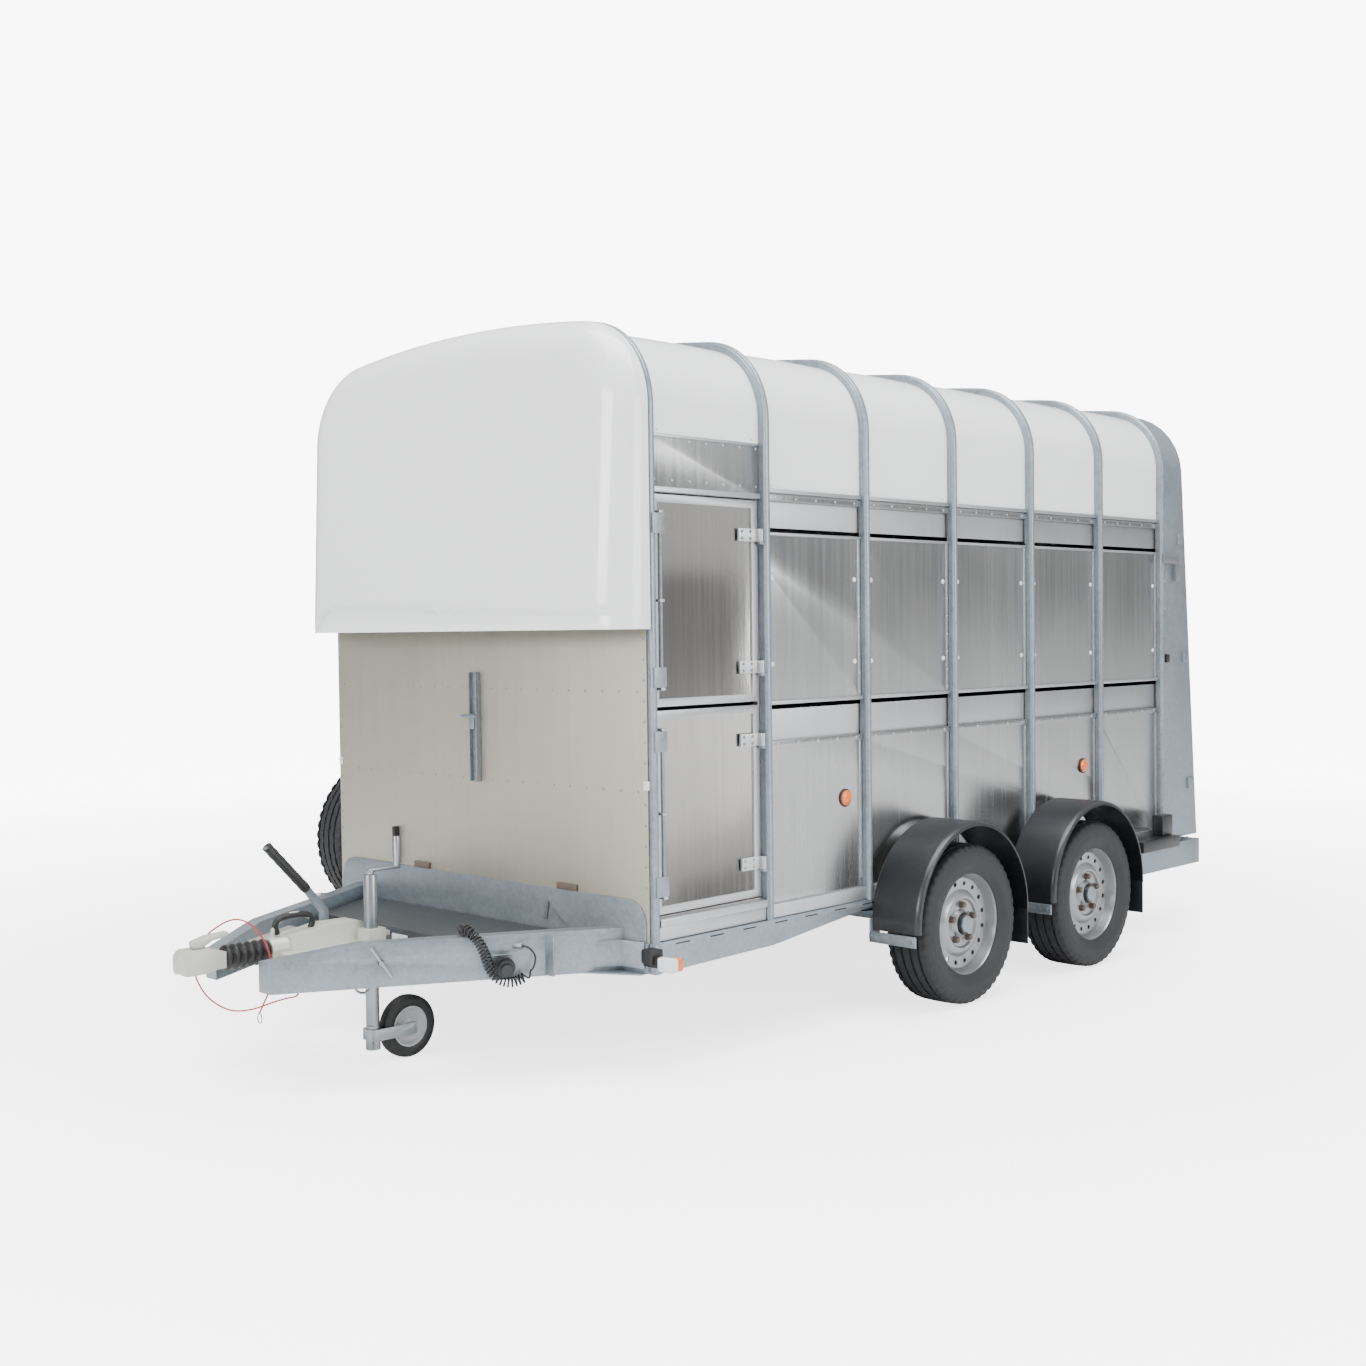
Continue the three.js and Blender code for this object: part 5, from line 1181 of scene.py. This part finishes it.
hub_cap_outline = [(50, 0.5), (50, 30), (64, 30), (68, 26), (70, 14), (70, 0.5)]
nut_outline = [(35, 0.5), (35, 11.5), (54, 11.5), (57, 8), (57, 0.5)]
nut_seat_outline = [(34, 0.5), (34, 14), (39, 13), (39, 0.5)]


def rim_mesh(x, y0, z0, side):
    """Rim and pierced disc; side is which way the dish faces."""
    metal = []
    for outline, steps in ((rim_outline, 72), (disc_edge_outline, 72), (disc_centre_outline, 60)):
        metal.append(turned(facing_out(side, outline), (x, y0, z0), "x", steps))
    metal.append(pierced_disc(x + side * 35.5, y0, z0, 118, 158, 16, 140, 8.5, side, 4, -4))
    return join_pieces("Rim", metal)


def nuts_mesh(x, y0, z0, side):
    """Five nuts on their seats round the hub."""
    nuts = []
    for k in range(WHEEL_NUTS):
        a = math.tau * k / WHEEL_NUTS + 0.3
        spot = (x, y0 + NUT_CIRCLE * math.cos(a), z0 + NUT_CIRCLE * math.sin(a))
        nuts.append(turned(facing_out(side, nut_outline), spot, "x", 6))
        nuts.append(turned(facing_out(side, nut_seat_outline), spot, "x", 18))
    return join_pieces("Nuts", nuts)


for end, y0 in WHEEL_PLACES:
    for side, word in ((1, "left"), (-1, "right")):
        which = f"{end}_{word}"
        body = f"wheel_{which}"
        hub = (side * WHEEL_X, y0, WHEEL_Z)
        tyre = mesh_piece(f"Tyre_{which}", tyre_mesh(*hub, TYRE_SCALE), tread_rubber, 28)
        hang(tyre, body, "tyre_rubber", f"tyre_{which}")
        rim = mesh_piece(f"Rim_{which}", rim_mesh(*hub, side), silver, 30)
        hang(rim, body, "wheel_steel", f"rim_{which}")
        ring = turned(facing_out(side, hub_ring_outline), hub, "x", 36)
        hang(mesh_piece(f"Hub_ring_{which}", ring, black_plastic), body, "black_plastic")
        cap = turned(facing_out(side, hub_cap_outline), hub, "x", 36)
        hang(mesh_piece(f"Hub_cap_{which}", cap, zinc_plate), body, "galvanised")
        nuts = nuts_mesh(*hub, side)
        hang(mesh_piece(f"Wheel_nuts_{which}", nuts, rusty), body, "wheel_steel")

# ---------------------------------------------------------------- spare wheel
# A fifth wheel without nuts, flat against the right side on a galvanised carrier
# with a long stud through the middle.
spare_hub = (-903.6, 262, 562)
spare_tyre = tyre_mesh(*spare_hub, 1.04, 0.935)
hang(mesh_piece("Spare_tyre", spare_tyre, tread_rubber, 28), "chassis", "tyre_rubber", "spare_wheel")
hang(mesh_piece("Spare_rim", rim_mesh(*spare_hub, -1), silver, 30), "chassis", "wheel_steel")
spare_ring = turned(facing_out(-1, hub_ring_outline), spare_hub, "x", 36)
hang(mesh_piece("Spare_hub_ring", spare_ring, black_plastic), "chassis", "black_plastic")
carrier = [bar(-822, -790, 240, 284, 520, 604, 3)]
carrier.append(rod((-822, 262, 562), (-866, 262, 562), 30, 24))
carrier.append(bar(-880, -866, 190, 334, 548, 576, 3))
carrier.append(rod((-880, 262, 562), (-952, 262, 562), 8, 16))
hang(mesh_piece("Spare_carrier", join_pieces("Carrier", carrier), zinc_plate), "chassis", "galvanised")

# ---------------------------------------------------------------- hitch
# Cast overrun hitch: a ball head on a sliding shaft with its release lever, a
# pleated rubber bellows, and a long cast housing bolted across both arms.
hitch_cream = (0.50, 0.51, 0.455)
cast_cream = surface("Cast hitch paint", hitch_cream, 0.40, 0.25, zinc, 0.10, 0.08, 0.0008, Crystal=0.12)
castings = (
    ("coupling_head", 4.0, "coupling_head"), ("coupling_lever", 3.0, "coupling_lever"),
    ("coupling_housing", 2.5, "chassis"),
)
for node, ease, body in castings:
    casting = mesh_piece(node.capitalize(), softened(node, ease), cast_cream)
    hang(casting, body, "cast_paint", node)
black_rubber = surface("Black rubber", (0.0065, 0.007, 0.0075), 0.48, 0.0, moulded, 0.25, 0.06, 0.0002)
PLEATS = 6
SLEEVE_LENGTH = 148
pleats = []
for k in range(61):
    t = k / 60
    wave = 0.5 - 0.5 * math.cos(t * math.tau * PLEATS)
    pleats.append((-991 + SLEEVE_LENGTH * t, 27 + 10.5 * wave ** 0.8))
inside = [(d, 25) for d, r in (pleats[-1], pleats[0])]
sleeve = turned(pleats + inside, (0, 0, 392), "y", 40)
sleeve_piece = mesh_piece("Bellows", sleeve, black_rubber, 60)
bpy.context.scene.collection.objects.link(sleeve_piece)
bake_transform(sleeve_piece)
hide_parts("bellows")
bolts = [at(x, y, 387) for x in (-105, 105) for y in (-790, -730, -600)]
studs("Housing_bolts", hexed, zinc_fresh, "chassis", "galvanised", bolts, (0, 0, 1), 0.010, 0.009)
grab_side = [(-806, 436), (-812, 462), (-795, 481), (-747, 486), (-700, 481), (-684, 462), (-690, 440)]
grab_line = smooth_line([at(0, y, z) for y, z in grab_side], 8)
grab = pipe_mesh(grab_line, 0.0095, 14)
hang(mesh_piece("Grab_handle_sleeve", grab, black_rubber), "chassis", "rubber")
ring_line = []
for k in range(25):
    a = k * math.tau / 24
    round_ring = Vector((0.6 * math.sin(a), 0.8 * math.sin(a), math.cos(a))) * 0.024
    ring_line.append(at(196, -640, 284) + round_ring)
fittings = [pipe_mesh(ring_line, 0.0042, 10), bar(182, 212, -646, -634, 296, 304, 2)]
fittings += [rod((-30, -757, 300), (62, -757, 300), 7), bar(18, 44, -790, -722, 262, 300, 3)]
fittings.append(rod((-44, -600, 402), (-84, -600, 402), 11))
fittings.append(rod((-40, -540, 330), (-40, -380, 330), 6))
hang(mesh_piece("Hitch_fittings", join_pieces("Fittings", fittings), zinc_fresh), "chassis", "galvanised")
lever = mesh_piece("Handbrake_lever", softened("handbrake_lever", 1.2), zinc_plate)
hang(lever, "handbrake_lever", "galvanised", "handbrake_lever")
grip_line = smooth_line([at(-64, -660, 546), at(-64, -728, 619), at(-64, -796, 692)], 6)
grip_radii = [0.0145 + 0.0015 * math.sin(k * 1.4) ** 2 for k in range(len(grip_line))]
grip = pipe_mesh(grip_line, grip_radii, 20)
hang(mesh_piece("Handbrake_grip", grip, black_plastic), "handbrake_lever", "black_plastic")

# ---------------------------------------------------------------- jockey wheel
# Zinc plated prop stand: an outer tube clamped to the hitch, a screwed stem with a
# crank on top, and a swivelling fork with a small solid tyred wheel.
for node in ("jockey_tube", "jockey_crank", "jockey_stem", "jockey_fork", "clamp_screw"):
    body = "chassis" if node == "jockey_tube" else node
    hang(mesh_piece(node.capitalize(), softened(node, 0.8), zinc_fresh), body, "galvanised", node)
jockey_tread = mirrored([(-18, 62), (-21, 68), (-22, 80), (-20.5, 90), (-15, 96.2), (-6, 97.6)])
jockey_web = mirrored([(-20, 11), (-20, 24), (-9, 28), (-7, 40), (-12, 52), (-19, 58), (-19, 63.5)])
jockey_axle = (70, -391, 97.16)
grey_hub = surface("Grey moulded hub", (0.38, 0.39, 0.40), 0.42, 0.1, moulded, 0.12)
jockey_tyre = mesh_piece("Jockey_tyre", turned(jockey_tread, jockey_axle, "x", 56), black_rubber)
hang(jockey_tyre, "jockey_wheel", "rubber", "jockey_wheel")
jockey_hub = mesh_piece("Jockey_hub", turned(jockey_web, jockey_axle, "x", 48), grey_hub)
hang(jockey_hub, "jockey_wheel", "wheel_steel")

# ---------------------------------------------------------------- tool box
# Dark grey moulded box between the arms, with softened edges and a white catch on
# its front.
box_grey = surface("Grey box plastic", (0.035, 0.041, 0.045), 0.45, 0.0, moulded, 0.15, 0.06, 0.0002)
hang(mesh_piece("Tool_box", softened("tool_box", 3.0), box_grey), "chassis", "grey_box", "tool_box")
box_catch = bar(-40, 40, -364, -359, 350, 372, 2)
hang(mesh_piece("Tool_box_catch", box_catch, white_cap), "chassis", "gelcoat")

# ---------------------------------------------------------------- lamps
# Amber side markers on round bezels, white and amber front markers on rubber
# stalks at the corners, and a black rear cluster behind the last wheel.
amber = surface("Amber lens", (0.78, 0.15, 0.005), 0.18, 0.0, moulded, 0.06, 0.03, 0.00005, coat=0.6)
clear_lens = surface("White lens", (0.80, 0.82, 0.84), 0.15, 0.0, moulded, 0.05, 0.03, 0.00005, coat=0.6)
ruby = surface("Red lens", (0.55, 0.02, 0.02), 0.16, 0.0, moulded, 0.06, 0.03, 0.00005, coat=0.6)
marker_outline = [(0, 0.5), (0, 26), (6, 26), (11, 20), (13, 10), (13.5, 0.5)]
bezel_outline = [(0, 24), (0, 31), (4, 30.5), (5, 26), (3, 24)]
markers = []
bezels = []
for side in (1, -1):
    for y, z in ((914, 752), (2462, 755)):
        markers.append(turned(facing_out(side, marker_outline), (side * 791.5, y, z), "x", 32))
        bezels.append(turned(facing_out(side, bezel_outline), (side * 790, y, z), "x", 32))
hang(mesh_piece("Side_markers", join_pieces("Markers", markers), amber), "chassis", "gelcoat")
bezel_piece = mesh_piece("Side_marker_bezels", join_pieces("Bezels", bezels), black_plastic)
hang(bezel_piece, "chassis", "black_plastic")
stalks = []
white_parts = []
amber_parts = []
for side in (1, -1):
    stalks.append(bar(side * 796, side * 905, -62, -28, 330, 366, 8))
    stalks.append(bar(side * 796, side * 846, -70, -22, 340, 384, 8))
    white_parts.append(bar(side * 868, side * 932, -74, -44, 326, 370, 10))
    amber_parts.append(bar(side * 900, side * 930, -44, -22, 328, 368, 8))
hang(mesh_piece("Front_marker_stalks", join_pieces("Stalks", stalks), black_rubber), "chassis", "rubber")
hang(mesh_piece("Front_marker_lenses", join_pieces("Lenses", white_parts), clear_lens), "chassis", "gelcoat")
hang(mesh_piece("Front_marker_ambers", join_pieces("Ambers", amber_parts), amber), "chassis", "gelcoat")
cases = []
reds = []
for side in (1, -1):
    cases.append(bar(side * 818, side * 904, 2752, 3070, 372, 420, 6))
    cases.append(bar(side * 818, side * 870, 2980, 3070, 420, 508, 6))
    cases.append(bar(side * 816, side * 830, 2700, 2752, 396, 428, 4))
    reds.append(bar(side * 828, side * 896, 3068, 3082, 378, 416, 3))
hang(mesh_piece("Rear_lamp_cases", join_pieces("Cases", cases), black_plastic), "chassis", "black_plastic")
hang(mesh_piece("Rear_lamp_lenses", join_pieces("Reds", reds), ruby), "chassis", "gelcoat")
